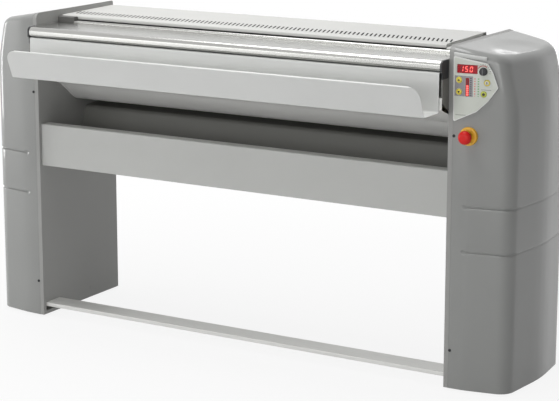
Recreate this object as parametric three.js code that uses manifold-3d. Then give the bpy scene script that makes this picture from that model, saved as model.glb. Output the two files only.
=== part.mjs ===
// Roller ironer for flat linen: two moulded cabinets carry a padded roller, a heated chest that
// swings up under it, a feed table with a tray, a vented hood, a return chute and a foot bar.
// Millimetres, +Z up. X runs along the roller, Y from the front to the rear.

import * as THREE from 'three';
import { mergeVertices } from 'three/addons/utils/BufferGeometryUtils.js';
import Module from 'manifold-3d';

const wasm = await Module();
wasm.setup();

// ---------------------------------------------------------------- clearances
const seatGap = 0.3; // between two pieces that touch
const runningGap = 0.35; // radial, shaft in bore

// ---------------------------------------------------------------- cabinets
const innerWidth = 1480; // clear width between the two cabinets
const cabinetWidth = 218;
const cabinetDepth = 425;
const cabinetHeight = 1024;
const coverBottom = 8; // height of the cover's lower edge above the floor
const coverWall = 4.5;
const roofSlope = 0.225; // fall of the roof, per mm away from the roller
const shoulderRadius = 99; // roof into outer side
const shoulderDrop = 160; // outer side leans in over this height
const bowStart = 60; // where the flat front begins to turn back
const bowSetback = 24; // how far the front's outer corner lies back
const outerCornerInset = 22; // outer side's lean at the front corner
const rearCornerInset = 19; // outer side's lean at the rear corner
const bowRadius = 300;
const frontCornerRadius = 48;
const sideBowRadius = 500;
const sideBowPlace = 225; // widest point of the outer side, from the front
const rearCornerRadius = 64;
const sideTaper = 9; // outer side draws in towards the shoulder
const roofFrontRadius = 20; // front edge of the roof
const roofRearRadius = 8;
const grooveHeights = [559, 425]; // two horizontal grooves round each cover
const grooveStart = 46;
const grooveWidth = 7;
const grooveDepth = 2.4;

// ---------------------------------------------------------------- side frames
const sheet = 2.5; // side frame sheet
const bendRadius = 3; // folded sheet, along its middle
const rimWidth = 14; // strip of the folded frame that shows beside each cover
const lipWidth = 8; // joggled lip behind the cover
const basePlate = 4;
const basePlateBottom = 14;
const footInset = 62; // feet from the cabinet's front and rear
const footOffset = 108; // feet from the inner wall
const footPadRadius = 24;
const footPadHeight = 5;
const footNeckRadius = 9;
const footStudRadius = 6;
const footStudTop = 42;
const footBossRadius = 12;
const footBossHeight = 12;

// ---------------------------------------------------------------- roller
const rollerRadius = 125; // over the cloth
const rollerLeftGap = 12; // roller end to the left wall
const rollerRightGap = 82; // roller end to the right wall
const rollerSetback = 140; // roller axis in front of the cabinet's rear
const rollerDrop = 159; // roller axis below the cabinet's top
const clothThickness = 2.7;
const paddingThickness = 12;
const tubeWall = 3.5;
const journalRadius = 15;
const rollerEndThickness = 10;
const bearingRadius = 45;
const bearingDepth = 14;
const journalOverhang = 6;
const journalHoleGap = 2; // radial, journal in the side frame
const rollerHubDepth = 8;
const sleeveEndInset = 2; // padding and cloth stop short of the tube's ends
const rollerEndInset = 2; // end discs sit this far inside the tube
const bearingFlange = 6.3;
const bearingBossRadius = 30.6;

// ---------------------------------------------------------------- roller drive
const sprocketPlane = 30; // wall to the sprockets' near face
const sprocketThickness = 5;
const rollerSprocketTeeth = 27;
const motorSprocketTeeth = 11;
const toothPitch = 12.7;
const toothDepth = 3;
const chainThickness = 6;
const chainPlay = 0.7; // chain over the tooth tips
const motorForward = 85; // motor shaft in front of the roller axis
const motorBelow = 175; // motor shaft below the roller axis
const motorShaftRadius = 8;
const gearboxSize = 100;
const gearboxDepth = 65;
const gearboxGap = 9; // sprockets to the gearbox
const motorRadius = 46;
const motorLength = 165;
const motorNoseRadius = 25;
const motorNose = 10;
const motorFlangeRadius = 51;
const motorFlange = 14;
const motorBracket = 14; // bracket's height
const motorBracketWidth = 80;

// ---------------------------------------------------------------- heated chest
const ironingGap = 1.5; // roller to chest with the chest closed
const chestThickness = 7.5;
const chestRearAngle = 48; // degrees, measured down from the rear horizontal
const chestFrontAngle = 190;
const chestLipForward = 30; // lip's reach in front of the roller
const chestLipTop = 86; // lip's top above the roller axis
const chestOpenAngle = 3.3; // swing between open and closed, degrees
const chestEndGap = 2;
const chestShaftRadius = 10;
const chestShaftInset = 2.5; // shaft in from the chest's rear edge, degrees
const heaterRadius = 3.2;
const heaterOverhang = [4, 22]; // heaters past the chest's left and right ends
const heaterAngles = [88, 128];
const insulationSpace = 8;
const insulationThickness = 7;
const insulationRearAngle = 62;
const insulationFrontAngle = 172;
const leverLength = 90;
const leverHeight = 14;
const leverThickness = 8;
const leverPlane = 20; // wall to the lever's near face
const leverHubRadius = 20;
const rodRadius = 5;
const rodHeadRadius = 7.5;
const rodHeadHeight = 6;
const rodEngagement = 50;
const rodTravelRoom = 12; // rod head above the actuator
const rodBottomRoom = 8;
const actuatorHeight = 140;
const actuatorWidth = 42;
const actuatorBarrelRadius = 11;
const gearcaseHeight = 50;
const actuatorMotorRadius = 17.6;
const actuatorMotorLength = 75;
const actuatorMotorOverlap = 5;
const actuatorBracketWidth = 16;
const shaftEnd = 3; // chest shaft past the lever
const openPivotGap = 0.7;

// ---------------------------------------------------------------- feed side
const tableBelowRoller = 6; // table top below the roller's top
const tableSheet = 2.5;
const tableReturn = 20; // nose's lower flange
const tableReach = 47; // table's nose in front of the cabinets
const tableDepth = 161; // nose to the table's rear flange
const noseHeight = 31;
const noseRadius = 14;
const tableEndGap = 7; // table end to the wall, filled by the bracket
const bracketPlate = 6.4;
const bracketHeight = 148;
const bracketDepth = 150;
const bracketStep = 7; // bracket's front edge behind the nose
const bracketSlope = 26;
const traySheet = 2;
const trayReturn = 22; // tray's upper flange, under the table
const trayHeelRadius = 6;
const trayToeRadius = 8;
const trayPanelHeight = 120;
const trayFloorDepth = 93;
const trayLipHeight = 91;
const trayLipLean = 34;
const trayRim = 9;
const trayCornerRadius = 34;
const trayEndGap = 9;
const guardWidth = 17;
const guardHeight = 23;
const guardRise = 7; // guard's top above the table
const guardPinRadius = 4;
const guardPinHeight = 6; // pin above the guard's underside
const guardLeftInset = 65; // guard's left end from the wall
const guardRightInset = 40;
const guardSheet = 2.5;
const guardEndWall = 6;
const guardPinLength = 16;
const guardPinEnd = 4; // right pin past the side frame
const guardTableGap = 1.4;
const blockDepth = 23;
const blockRise = 19;
const blockDrop = 2;

// ---------------------------------------------------------------- hood and rear
const hoodSheet = 1.5;
const hoodClearance = 14; // roller to the hood's front
const hoodFall = 4; // hood rises this much to the rear
const hoodFrontEdge = 13; // height of the hood's front edge
const infeedGap = 7; // between guard and hood
const hoodLeftGap = 0.3;
const hoodEndPlateWidth = 77;
const hoodEndPlateDrop = 9;
const hoodRearFlange = 23;
const hoodFrontReturn = 12;
const hoodFrontRadius = 9;
const hoodReturnRadius = 2;
const hoodRearRadius = 4;
const hoodRearInset = 4;
const slotCount = 93;
const slotPitch = 14.89;
const slotWidth = 5;
const slotLength = 56;
const slotLean = 20; // degrees
const slotSetback = 66; // slot centres behind the hood's front
const firstSlotInset = 18;
const panelSheet = 1.5;
const beamTop = 658;
const beamHeight = 140;
const beamSetback = 12;
const beamFlange = 40;
const beamSheet = 2;
const beamUpperReturn = 14;
const backPanelTopDrop = 24; // rear panel's top below the cabinet's top
const backPanelInset = 2.2;
const backPanelReturn = 26;
const bellyClearance = 2.2;
const panelSeat = 1.2; // middle of a panel behind the face that it lies on
const chuteGap = 24; // linen's way under the belly
const chuteRearGap = 6.5; // chute's rear to the cabinet's rear
const binFloorRise = 12; // bin floor above the beam's lower edge
const binDepth = 180;

// ---------------------------------------------------------------- foot bar
const pedalWidth = 76;
const pedalHeight = 13;
const pedalSheet = 2;
const pedalTop = 49;
const pedalSetback = 14;
const pedalArmThickness = 5;
const pedalPivotSetback = 265;
const pedalPinRadius = 6;
const pedalTravel = 15.5;
const pedalEndReach = 12; // bar's reach into each cabinet
const pedalArmTail = 10; // arm past its pivot
const pedalCollarRadius = 9;
const pedalSlotRoom = 3; // side frame's slot behind the bar

// ---------------------------------------------------------------- controls
// Places on the right cabinet's front are [u, drop below the cabinet's top].
const plateThickness = 4;
const plateCorners = [[15.2, 28], [116, 45], [131, 69], [147, 113], [119, 153], [86, 185], [17, 218]];
const displayCorners = [[26.5, 76], [87, 51]];
const levelCorners = [[53, 142], [63.5, 89]];
const windowRecess = 0.8;
const moduleThickness = 2.4;
const moduleMargin = 4;
const displayMargin = 2;
const buttonRadius = 9;
const buttonEdge = 1.2;
const buttonProud = 2.5;
const buttonFlange = 1.8;
const buttonFlangeThickness = 2;
const buttonCentres = {
  up_button: [33.5, 96], down_button: [33.5, 130], start_button: [115, 100], stop_button: [106, 133],
};
const knobCentre = [104, 68];
const knobRadius = 11;
const knobHeight = 12;
const knobEdge = 1.5;
const knobShaftRadius = 4;
const knobShaftEnd = 12; // shaft behind the cover
const pointerWidth = 3.2;
const pointerLength = 17.6;
const pointerHeight = 2;
const stopCentre = [64.5, 257];
const stopCollarRadius = 27;
const stopCollarHeight = 5;
const stopCollarEdge = 2;
const stopStemRadius = 11;
const stopStemFront = 20;
const stopStemRear = 34;
const stopCapRadius = 20;
const stopCapHeight = 17;
const stopNoseRadius = 6;
const stopNoseLength = 8;
const screwInset = 18.6; // cover screws from the inner wall
const upperScrewDrop = 260;
const lowerScrewHeight = 124;
const screwHeadRadius = 4.4;
const screwCrownRadius = 3.5;
const screwHeadHeight = 2.4;
const screwShankRadius = 2.4;
const screwLength = 12;

// ---------------------------------------------------------------- inside the cabinets
const fanHeight = 300;
const fanSetback = 300;
const fanRadius = 80;
const fanWall = 4;
const fanNear = 45; // wall to the fan housing
const fanDepth = 60;
const fanRotorRadius = 68;
const fanBladeDepth = 22;
const fanBlades = 12;
const fanRotorDepth = 38;
const fanInletRadius = 42;
const fanShaftRadius = 5;
const fanMotorRadius = 34;
const fanMotorDepth = 42;
const fanFootWidth = 80;
const fanFootHeight = 12;
const spigotRadius = 30;
const spigotWall = 3;
const spigotRise = 40;
const spigotReach = 30; // beyond the cabinet's rear
const boardHeight = 280;
const boardWidth = 210;
const boardBottom = 200;
const boardSetback = 110;
const boardPlate = 3;
const boardMargin = 8;
const boardModules = [ // offset along the board, offset up it, width, height, depth
  [12, 70, 190, 60, 55], [12, 12, 60, 110, 38], [80, 12, 118, 60, 30], [80, 84, 118, 34, 22],
  [12, 140, 186, 34, 26],
];
const glandHeight = 120;
const glandRadius = 12;
const glandFlange = 16;
const glandFlangeDepth = 7;
const glandDepth = 14; // inside the cover
const glandReach = 14;
const glandHole = 6;

// ================================================================ helpers
const halfWidth = innerWidth / 2;
const roundSteps = 24; // facets of a turned piece
const smallSteps = 16; // facets of a small one
const screwSteps = 10; // facets of a screw
const weldDistance = 0.02; // vertices closer than this are merged
const degree = Math.PI / 180;

function toSolid(geometry) {
  const bare = geometry.clone();
  bare.deleteAttribute('normal');
  bare.deleteAttribute('uv');
  const merged = mergeVertices(bare, 1e-4);
  const position = merged.attributes.position;
  const corners = [];
  for (let i = 0; i < merged.index.count; i += 3) {
    const [a, b, c] = [0, 1, 2].map((k) => merged.index.getX(i + k));
    if (a !== b && b !== c && c !== a) corners.push(a, b, c);
  }
  const [p, q, r] = [new THREE.Vector3(), new THREE.Vector3(), new THREE.Vector3()];
  let volume = 0;
  for (let i = 0; i < corners.length; i += 3) {
    p.fromBufferAttribute(position, corners[i]);
    q.fromBufferAttribute(position, corners[i + 1]);
    r.fromBufferAttribute(position, corners[i + 2]);
    volume += p.dot(q.cross(r));
  }
  if (volume < 0) corners.reverse(); // a mirrored outline turns its faces inwards
  const triVerts = new Uint32Array(corners);
  const vertProperties = new Float32Array(position.array);
  return new wasm.Manifold(new wasm.Mesh({ numProp: 3, vertProperties, triVerts }));
}

function toGeometry(solid) {
  const mesh = solid.getMesh();
  const geometry = new THREE.BufferGeometry();
  const points = new Float32Array(mesh.numVert * 3);
  for (let i = 0; i < mesh.numVert; i += 1) {
    for (let k = 0; k < 3; k += 1) points[3 * i + k] = mesh.vertProperties[mesh.numProp * i + k];
  }
  geometry.setAttribute('position', new THREE.BufferAttribute(points, 3));
  geometry.setIndex(new THREE.BufferAttribute(new Uint32Array(mesh.triVerts), 1));
  geometry.computeVertexNormals();
  return geometry;
}

const join = (...solids) => solids.reduce((sum, solid) => sum.add(solid));
const cut = (solid, ...tools) => tools.reduce((rest, tool) => rest.subtract(tool), solid);
const shapeOf = (points) => new THREE.Shape(points.map(([a, b]) => new THREE.Vector2(a, b)));

function extruded(points, depth) {
  return new THREE.ExtrudeGeometry(shapeOf(points), { depth, bevelEnabled: false });
}

function block(x0, x1, y0, y1, z0, z1) {
  const geometry = new THREE.BoxGeometry(x1 - x0, y1 - y0, z1 - z0);
  return toSolid(geometry.translate((x0 + x1) / 2, (y0 + y1) / 2, (z0 + z1) / 2));
}

// An outline in (Y, Z), extruded along X.
function alongX(points, x0, x1) {
  const geometry = extruded(points, x1 - x0);
  const basis = new THREE.Matrix4().makeBasis(
    new THREE.Vector3(0, 1, 0),
    new THREE.Vector3(0, 0, 1),
    new THREE.Vector3(1, 0, 0),
  );
  return toSolid(geometry.applyMatrix4(basis).translate(x0, 0, 0));
}

// An outline in (X, Z), extruded along Y.
function alongY(points, y0, y1) {
  return toSolid(extruded(points, y1 - y0).rotateX(Math.PI / 2).translate(0, y1, 0));
}

// An outline in (X, Y), extruded along Z.
function alongZ(points, z0, z1) {
  return toSolid(extruded(points, z1 - z0).translate(0, 0, z0));
}

// A profile of [radius, distance] pairs turned round an axis through a centre.
function turned(profile, axis, [x, y, z], steps = roundSteps) {
  const geometry = new THREE.LatheGeometry(profile.map(([r, d]) => new THREE.Vector2(r, d)), steps);
  if (axis === 'x') geometry.rotateZ(-Math.PI / 2);
  if (axis === 'z') geometry.rotateX(Math.PI / 2);
  return toSolid(geometry.translate(x, y, z));
}

function rod(radius, start, end, axis, centre, steps = roundSteps) {
  return turned([[0, start], [radius, start], [radius, end], [0, end]], axis, centre, steps);
}

// Rounds the corners of a polyline: points are [a, b, radius].
function rounded(points, closed, stepAngle = 18 * degree) {
  const result = [];
  const count = points.length;
  points.forEach(([a, b, radius = 0], i) => {
    const isEnd = !closed && (i === 0 || i === count - 1);
    if (isEnd || radius === 0) {
      result.push([a, b]);
      return;
    }
    const corner = new THREE.Vector2(a, b);
    const before = new THREE.Vector2(...points[(i + count - 1) % count].slice(0, 2)).sub(corner);
    const after = new THREE.Vector2(...points[(i + 1) % count].slice(0, 2)).sub(corner);
    const turn = Math.PI - Math.acos(before.dot(after) / before.length() / after.length());
    const reach = Math.min(radius * Math.tan(turn / 2), before.length() * 0.48, after.length() * 0.48);
    const bend = reach / Math.tan(turn / 2);
    before.normalize();
    after.normalize();
    const centre = before.clone().add(after).normalize().multiplyScalar(Math.hypot(bend, reach)).add(corner);
    const start = before.clone().multiplyScalar(reach).add(corner).sub(centre);
    const end = after.clone().multiplyScalar(reach).add(corner).sub(centre);
    const sweep = Math.atan2(start.x * end.y - start.y * end.x, start.dot(end));
    const steps = Math.max(2, Math.ceil(Math.abs(sweep) / stepAngle));
    for (let k = 0; k <= steps; k += 1) {
      const spoke = start.clone().rotateAround(new THREE.Vector2(), (sweep * k) / steps);
      result.push([centre.x + spoke.x, centre.y + spoke.y]);
    }
  });
  return result;
}

// Moves a closed counter-clockwise outline inwards by a distance.
function inset(points, distance) {
  const count = points.length;
  return points.map((point, i) => {
    const here = new THREE.Vector2(...point);
    const before = here.clone().sub(new THREE.Vector2(...points[(i + count - 1) % count])).normalize();
    const after = new THREE.Vector2(...points[(i + 1) % count]).sub(here).normalize();
    const normal = new THREE.Vector2(-before.y - after.y, before.x + after.x).normalize();
    const scale = distance / (normal.x * -before.y + normal.y * before.x);
    return [here.x + normal.x * scale, here.y + normal.y * scale];
  });
}

// Outline of a bent sheet whose middle follows an open path.
function bentSheet(path, thickness) {
  const sides = [1, -1].map((side) => path.map(([a, b], i) => {
    const here = new THREE.Vector2(a, b);
    const before = i > 0 ? here.clone().sub(new THREE.Vector2(...path[i - 1])).normalize() : null;
    const after = i < path.length - 1 ? new THREE.Vector2(...path[i + 1]).sub(here).normalize() : null;
    const [first, last] = [before || after, after || before];
    const normal = new THREE.Vector2(-first.y - last.y, first.x + last.x).normalize();
    const scale = (side * thickness) / 2 / (normal.x * -first.y + normal.y * first.x);
    return [a + normal.x * scale, b + normal.y * scale];
  }));
  return [...sides[0], ...sides[1].reverse()];
}

function sheetAlongX(corners, thickness, x0, x1) {
  return alongX(bentSheet(rounded(corners, false), thickness), x0, x1);
}

const parts = [];
const finishes = {
  moulding: { color: 0x8f908d, roughness: 0.42, metalness: 0.0 },
  paintedSteel: { color: 0xb4b5b3, roughness: 0.45, metalness: 0.1 },
  darkSteel: { color: 0x777873, roughness: 0.5, metalness: 0.1 },
  paleSteel: { color: 0xc9cac8, roughness: 0.42, metalness: 0.1 },
  hoodWhite: { color: 0xd9d9d4, roughness: 0.45, metalness: 0.1 },
  polished: { color: 0xdadada, roughness: 0.14, metalness: 1.0 },
  brushed: { color: 0xaaaaa8, roughness: 0.35, metalness: 0.9 },
  blackPlastic: { color: 0x16171a, roughness: 0.5, metalness: 0.0 },
  labelPlate: { color: 0xcfd0cb, roughness: 0.4, metalness: 0.0 },
  redGlass: { color: 0xb4101c, roughness: 0.15, metalness: 0.0 },
  redPlastic: { color: 0xd2261c, roughness: 0.35, metalness: 0.0 },
  yellowPlastic: { color: 0xe6c83a, roughness: 0.45, metalness: 0.0 },
  cloth: { color: 0xe9e4d6, roughness: 0.95, metalness: 0.0 },
  felt: { color: 0xb9b3a4, roughness: 1.0, metalness: 0.0 },
  wool: { color: 0xcfc9b4, roughness: 1.0, metalness: 0.0 },
  castAluminium: { color: 0x9a9c9e, roughness: 0.45, metalness: 0.8 },
  boardGreen: { color: 0x2f6b4a, roughness: 0.6, metalness: 0.0 },
  zinc: { color: 0xa8abad, roughness: 0.35, metalness: 0.9 },
};

function addPart(name, solid, finish, place = {}) {
  const material = new THREE.MeshStandardMaterial(finishes[finish]);
  const mesh = new THREE.Mesh(toGeometry(solid.simplify(weldDistance)), material);
  mesh.name = name;
  if (place.position) mesh.position.set(...place.position);
  if (place.turnX) mesh.rotation.x = place.turnX;
  if (place.turnZ) mesh.rotation.z = place.turnZ;
  parts.push(mesh);
  return mesh;
}

// ================================================================ cabinet form
// u is the distance from a cabinet's inner wall, away from the roller.
const overrun = 20; // the form runs on past its open sides
const far = 2000;
const planOutline = rounded([
  [-overrun, 0],
  [bowStart, 0, bowRadius],
  [cabinetWidth - outerCornerInset, bowSetback, frontCornerRadius],
  [cabinetWidth, sideBowPlace, sideBowRadius],
  [cabinetWidth - rearCornerInset, cabinetDepth, rearCornerRadius],
  [-overrun, cabinetDepth],
], true, 9 * degree);
const roofAt = (u) => cabinetHeight - roofSlope * u;
const elevationOutline = rounded([
  [-overrun, coverBottom - overrun],
  [cabinetWidth, coverBottom - overrun],
  [cabinetWidth, roofAt(cabinetWidth) - shoulderDrop, far],
  [cabinetWidth - sideTaper, roofAt(cabinetWidth - sideTaper), shoulderRadius],
  [-overrun, roofAt(-overrun)],
], true, 9 * degree);

// The cabinet's outer form, drawn in by a wall and running past its open inner and lower sides.
function cabinetForm(wall) {
  const openInner = ([u, other]) => [u < 0 ? -overrun : u, other];
  const openBelow = ([u, z]) => [u, z < coverBottom ? coverBottom - overrun : z];
  const plan = inset(planOutline, wall).map(openInner);
  const elevation = inset(elevationOutline, wall).map(openInner).map(openBelow);
  const side = inset(rounded([
    [0, -far],
    [cabinetDepth, -far],
    [cabinetDepth, cabinetHeight, roofRearRadius],
    [0, cabinetHeight, roofFrontRadius],
  ], true, 18 * degree), wall);
  const shear = new THREE.Matrix4().set(1, 0, 0, 0, 0, 1, 0, 0, -roofSlope, 0, 1, 0, 0, 0, 0, 1);
  const sheared = toGeometry(alongX(side, -2 * overrun, cabinetWidth + 2 * overrun)).applyMatrix4(shear);
  const body = alongZ(plan, coverBottom - overrun, far).intersect(alongY(elevation, -overrun, far));
  return body.intersect(toSolid(sheared));
}

const outerForm = cabinetForm(0);
const wallForm = cabinetForm(coverWall);
const lipOuterForm = cabinetForm(coverWall + seatGap);
const lipInnerForm = cabinetForm(coverWall + seatGap + sheet);
const sheetForm = cabinetForm(sheet);
const slab = (u0, u1, z0 = coverBottom, z1 = far) => block(u0, u1, -overrun, far, z0, z1);

// Depth and slope of the front face at u.
function frontAt(u) {
  const slope = Math.atan2(bowSetback, cabinetWidth - outerCornerInset - bowStart);
  const reach = bowRadius * Math.tan(slope / 2);
  if (u <= bowStart - reach) return { y: 0, tilt: 0 };
  if (u >= bowStart + reach * Math.cos(slope)) return { y: (u - bowStart) * Math.tan(slope), tilt: slope };
  const along = u - bowStart + reach;
  return { y: bowRadius - Math.sqrt(bowRadius ** 2 - along ** 2), tilt: Math.asin(along / bowRadius) };
}

// A tool or piece whose axis stands square on the front face at [u, z].
function onFront(profile, [u, z]) {
  const { y, tilt } = frontAt(u);
  const solid = toGeometry(turned(profile, 'y', [0, 0, 0], smallSteps));
  return toSolid(solid.applyMatrix4(new THREE.Matrix4().makeRotationZ(tilt)).translate(u, y, z));
}

// ================================================================ main positions
const rollerY = cabinetDepth - rollerSetback;
const rollerZ = cabinetHeight - rollerDrop;
const rollerTop = rollerZ + rollerRadius;
const rollerLeft = -halfWidth + rollerLeftGap;
const rollerRight = halfWidth - rollerRightGap;
const tableTop = rollerTop - tableBelowRoller;
const tableFront = -tableReach;
const tableRear = tableFront + tableDepth;
const guardFront = tableRear + guardTableGap;
const guardRear = guardFront + guardWidth;
const guardTop = tableTop + guardRise;
const guardBottom = guardTop - guardHeight;
const guardPinY = guardFront + guardWidth / 2;
const guardPinZ = guardBottom + guardPinHeight;
const hoodFront = guardRear + infeedGap;
const hoodTopFront = rollerTop + hoodClearance + hoodSheet;
const hoodTopRear = hoodTopFront + hoodFall;
const hoodRight = halfWidth - hoodEndPlateWidth;
const chestInner = rollerRadius + ironingGap;
const chestOuter = chestInner + chestThickness;
const heaterCentre = chestOuter + seatGap + heaterRadius;
const insulationInner = heaterCentre + heaterRadius + seatGap;
const insulationOuter = insulationInner + insulationSpace;
const pivotRadius = chestOuter + seatGap + chestShaftRadius;
const pivotAngle = (chestRearAngle + chestShaftInset) * degree;
const pivotY = rollerY + pivotRadius * Math.cos(pivotAngle);
const pivotZ = rollerZ - pivotRadius * Math.sin(pivotAngle);
const openAngle = chestOpenAngle * degree;
const chestDrop = pivotRadius * Math.sin(openAngle);
const bellyRadius = insulationOuter + chestDrop * 0.8 + bellyClearance;
const beamBottom = beamTop - beamHeight;
const pedalPivotZ = pedalTop - pedalHeight / 2;
const trayTop = tableTop - noseHeight - seatGap;
const trayFloor = trayTop - trayPanelHeight;
const motorY = rollerY - motorForward;
const motorZ = rollerZ - motorBelow;
const leverZ = pivotZ;
const rodY = pivotY - leverLength + leverHubRadius / 2;
const wallOuter = sheet; // side frame's outer face, as u

// Places on the cabinet's front as [u, height].
const fromTop = ([u, drop]) => [u, cabinetHeight - drop];
const plateOutline = plateCorners.map(fromTop);
const displayRect = displayCorners.flatMap(fromTop); // u0, z0, u1, z1
const levelRect = levelCorners.flatMap(fromTop);
const knobPlace = fromTop(knobCentre);
const [stopU, stopZ] = fromTop(stopCentre);
const screwHeights = { upper: cabinetHeight - upperScrewDrop, lower: lowerScrewHeight };

// The point at an angle below the rear horizontal, at a radius round the roller.
function roundRoller(angle, radius) {
  return [rollerY + radius * Math.cos(angle * degree), rollerZ - radius * Math.sin(angle * degree)];
}

// Places a piece that was built in (u, Y, Z) on the left or the right.
function onSide(side, solid) {
  const mirror = new THREE.Matrix4().makeScale(side, 1, 1).setPosition(side * halfWidth, 0, 0);
  return toSolid(toGeometry(solid).applyMatrix4(mirror));
}

// ================================================================ cabinet covers
function coverBody() {
  const shell = cut(outerForm, wallForm).intersect(slab(rimWidth + seatGap, far));
  const grooveRing = cut(cabinetForm(-overrun / 2), cabinetForm(grooveDepth));
  const grooves = grooveHeights.map((z) => grooveRing.intersect(
    slab(grooveStart, far, z - grooveWidth / 2, z + grooveWidth / 2),
  ));
  const screwHoles = Object.values(screwHeights).map((z) => rod(
    screwShankRadius + runningGap, -overrun, overrun, 'y', [screwInset, 0, z], screwSteps,
  ));
  return cut(shell, ...grooves, ...screwHoles);
}

function plateBore(place, radius) {
  return onFront([[0, -overrun], [radius, -overrun], [radius, overrun], [0, overrun]], place);
}

const rectOutline = ([u0, z0, u1, z1], grow = 0) => [
  [u0 - grow, z0 - grow], [u1 + grow, z0 - grow], [u1 + grow, z1 + grow], [u0 - grow, z1 + grow],
];
const windowCuts = [displayRect, levelRect].map((rect) => alongY(rectOutline(rect), -overrun, overrun * 2));
const buttonBore = buttonRadius + runningGap;
const buttonCuts = Object.values(buttonCentres).map((centre) => plateBore(fromTop(centre), buttonBore));
const knobCut = plateBore(knobPlace, knobShaftRadius + runningGap);
const stopCut = rod(stopStemRadius + runningGap, -overrun * 2, overrun * 3, 'y', [stopU, 0, stopZ]);

const fanSpigotU = fanNear + fanDepth / 2;
const spigotZ = fanHeight + spigotRise;
const spigotCut = rod(
  spigotRadius + runningGap, cabinetDepth - overrun * 3, far, 'y', [fanSpigotU, 0, spigotZ],
);
const glandCut = rod(
  glandRadius + runningGap, cabinetDepth - overrun, far, 'y', [footOffset, 0, glandHeight], smallSteps,
);
const plainCover = coverBody();
addPart('left_cabinet_cover', onSide(-1, cut(plainCover, spigotCut)), 'moulding');
addPart(
  'right_cabinet_cover',
  onSide(1, cut(plainCover, ...windowCuts, ...buttonCuts, knobCut, stopCut, glandCut)),
  'moulding',
);

// ================================================================ side frames
const footPlaces = [footInset, cabinetDepth - footInset];

function sideFrame(side) {
  const tray = join(
    outerForm.intersect(slab(0, rimWidth)),
    lipOuterForm.intersect(slab(rimWidth - sheet / 2, rimWidth + lipWidth)),
  );
  const folded = cut(
    tray,
    sheetForm.intersect(slab(sheet, rimWidth - sheet, -overrun)),
    lipInnerForm.intersect(slab(rimWidth - sheet * 1.5, rimWidth + overrun, -overrun)),
  );
  const baseTop = basePlateBottom + basePlate;
  const baseForm = cabinetForm(coverWall + 2 * seatGap);
  const base = baseForm.intersect(slab(sheet / 2, far, basePlateBottom, baseTop));
  const bossTop = baseTop + footBossHeight;
  const bosses = footPlaces.map((y) => rod(
    footBossRadius, basePlateBottom, bossTop, 'z', [footOffset, y, 0], smallSteps,
  ));
  const studHoles = footPlaces.map((y) => rod(
    footStudRadius + runningGap, 0, 2 * footStudTop, 'z', [footOffset, y, 0], smallSteps,
  ));
  const through = (radius, y, z) => rod(radius, -overrun, overrun / 2, 'x', [0, y, z]);
  const screwHoles = Object.values(screwHeights).map((z) => rod(
    screwShankRadius + runningGap, -overrun, overrun, 'y', [screwInset, 0, z], screwSteps,
  ));
  const holes = [
    through(journalRadius + journalHoleGap, rollerY, rollerZ),
    through(chestShaftRadius + runningGap, pivotY, pivotZ),
    through(pedalPinRadius + runningGap, pedalPivotSetback, pedalPivotZ),
    block(
      -overrun, sheet * 2, pedalSetback - seatGap, pedalSetback + pedalWidth + pedalSlotRoom,
      pedalTop - pedalHeight - pedalTravel - 1, pedalTop + seatGap,
    ),
  ];
  if (side > 0) holes.push(through(guardPinRadius + runningGap, guardPinY, guardPinZ));
  return onSide(side, cut(join(folded, base, ...bosses), ...studHoles, ...screwHoles, ...holes));
}

const footProfile = [
  [0, 0], [footPadRadius, 0], [footPadRadius, footPadHeight],
  [footNeckRadius, basePlateBottom - seatGap], [footStudRadius, basePlateBottom - seatGap],
  [footStudRadius, footStudTop], [0, footStudTop],
];

for (const [sideName, side] of [['left', -1], ['right', 1]]) {
  addPart(`${sideName}_side_frame`, sideFrame(side), 'darkSteel');
  for (const [endName, y] of [['front', footPlaces[0]], ['rear', footPlaces[1]]]) {
    addPart(`${sideName}_${endName}_foot`, turned(footProfile, 'z', [0, 0, 0], smallSteps), 'blackPlastic', {
      position: [side * (halfWidth + footOffset), y, 0],
    });
  }
  for (const [rowName, z] of Object.entries(screwHeights)) {
    const profile = [
      [0, -screwHeadHeight - seatGap], [screwCrownRadius, -screwHeadHeight - seatGap],
      [screwHeadRadius, -seatGap],
      [screwShankRadius, -seatGap], [screwShankRadius, screwLength], [0, screwLength],
    ];
    addPart(`${sideName}_${rowName}_cover_screw`, turned(profile, 'y', [0, 0, 0], screwSteps), 'zinc', {
      position: [side * (halfWidth + screwInset), 0, z],
    });
  }
}

// ================================================================ roller
const tubeOuter = rollerRadius - clothThickness - seatGap - paddingThickness - seatGap;
const tubeInner = tubeOuter - tubeWall;
const rollerLength = rollerRight - rollerLeft;
const rollerMiddle = [(rollerLeft + rollerRight) / 2, rollerY, rollerZ];
const rollerSteps = 40;
const paddingOuter = rollerRadius - clothThickness - seatGap;

function sleeve(inner, outer, endInset) {
  const end = rollerLength / 2 - endInset;
  const profile = [[inner, -end], [outer, -end], [outer, end], [inner, end], [inner, -end]];
  return turned(profile, 'x', [0, 0, 0], rollerSteps);
}

const sleeves = [
  ['roller_tube', tubeInner, tubeOuter, 0, 'brushed'],
  ['roller_padding', tubeOuter + seatGap, paddingOuter, sleeveEndInset, 'felt'],
  ['roller_cloth', paddingOuter + seatGap, rollerRadius, sleeveEndInset, 'cloth'],
];
for (const [name, inner, outer, endInset, finish] of sleeves) {
  addPart(name, sleeve(inner, outer, endInset), finish, { position: rollerMiddle });
}

// A disc inside the tube's end with a hub and a journal that runs out to u = reach past the wall.
function rollerEnd(journalEnd) {
  const disc = tubeInner * Math.cos(Math.PI / rollerSteps) - seatGap;
  const hub = journalRadius * 2;
  return turned([
    [0, -rollerEndThickness - rollerHubDepth], [hub, -rollerEndThickness - rollerHubDepth],
    [hub, -rollerEndThickness],
    [disc, -rollerEndThickness], [disc, 0], [journalRadius, 0], [journalRadius, journalEnd], [0, journalEnd],
  ], 'x', [0, 0, 0]);
}

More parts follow.
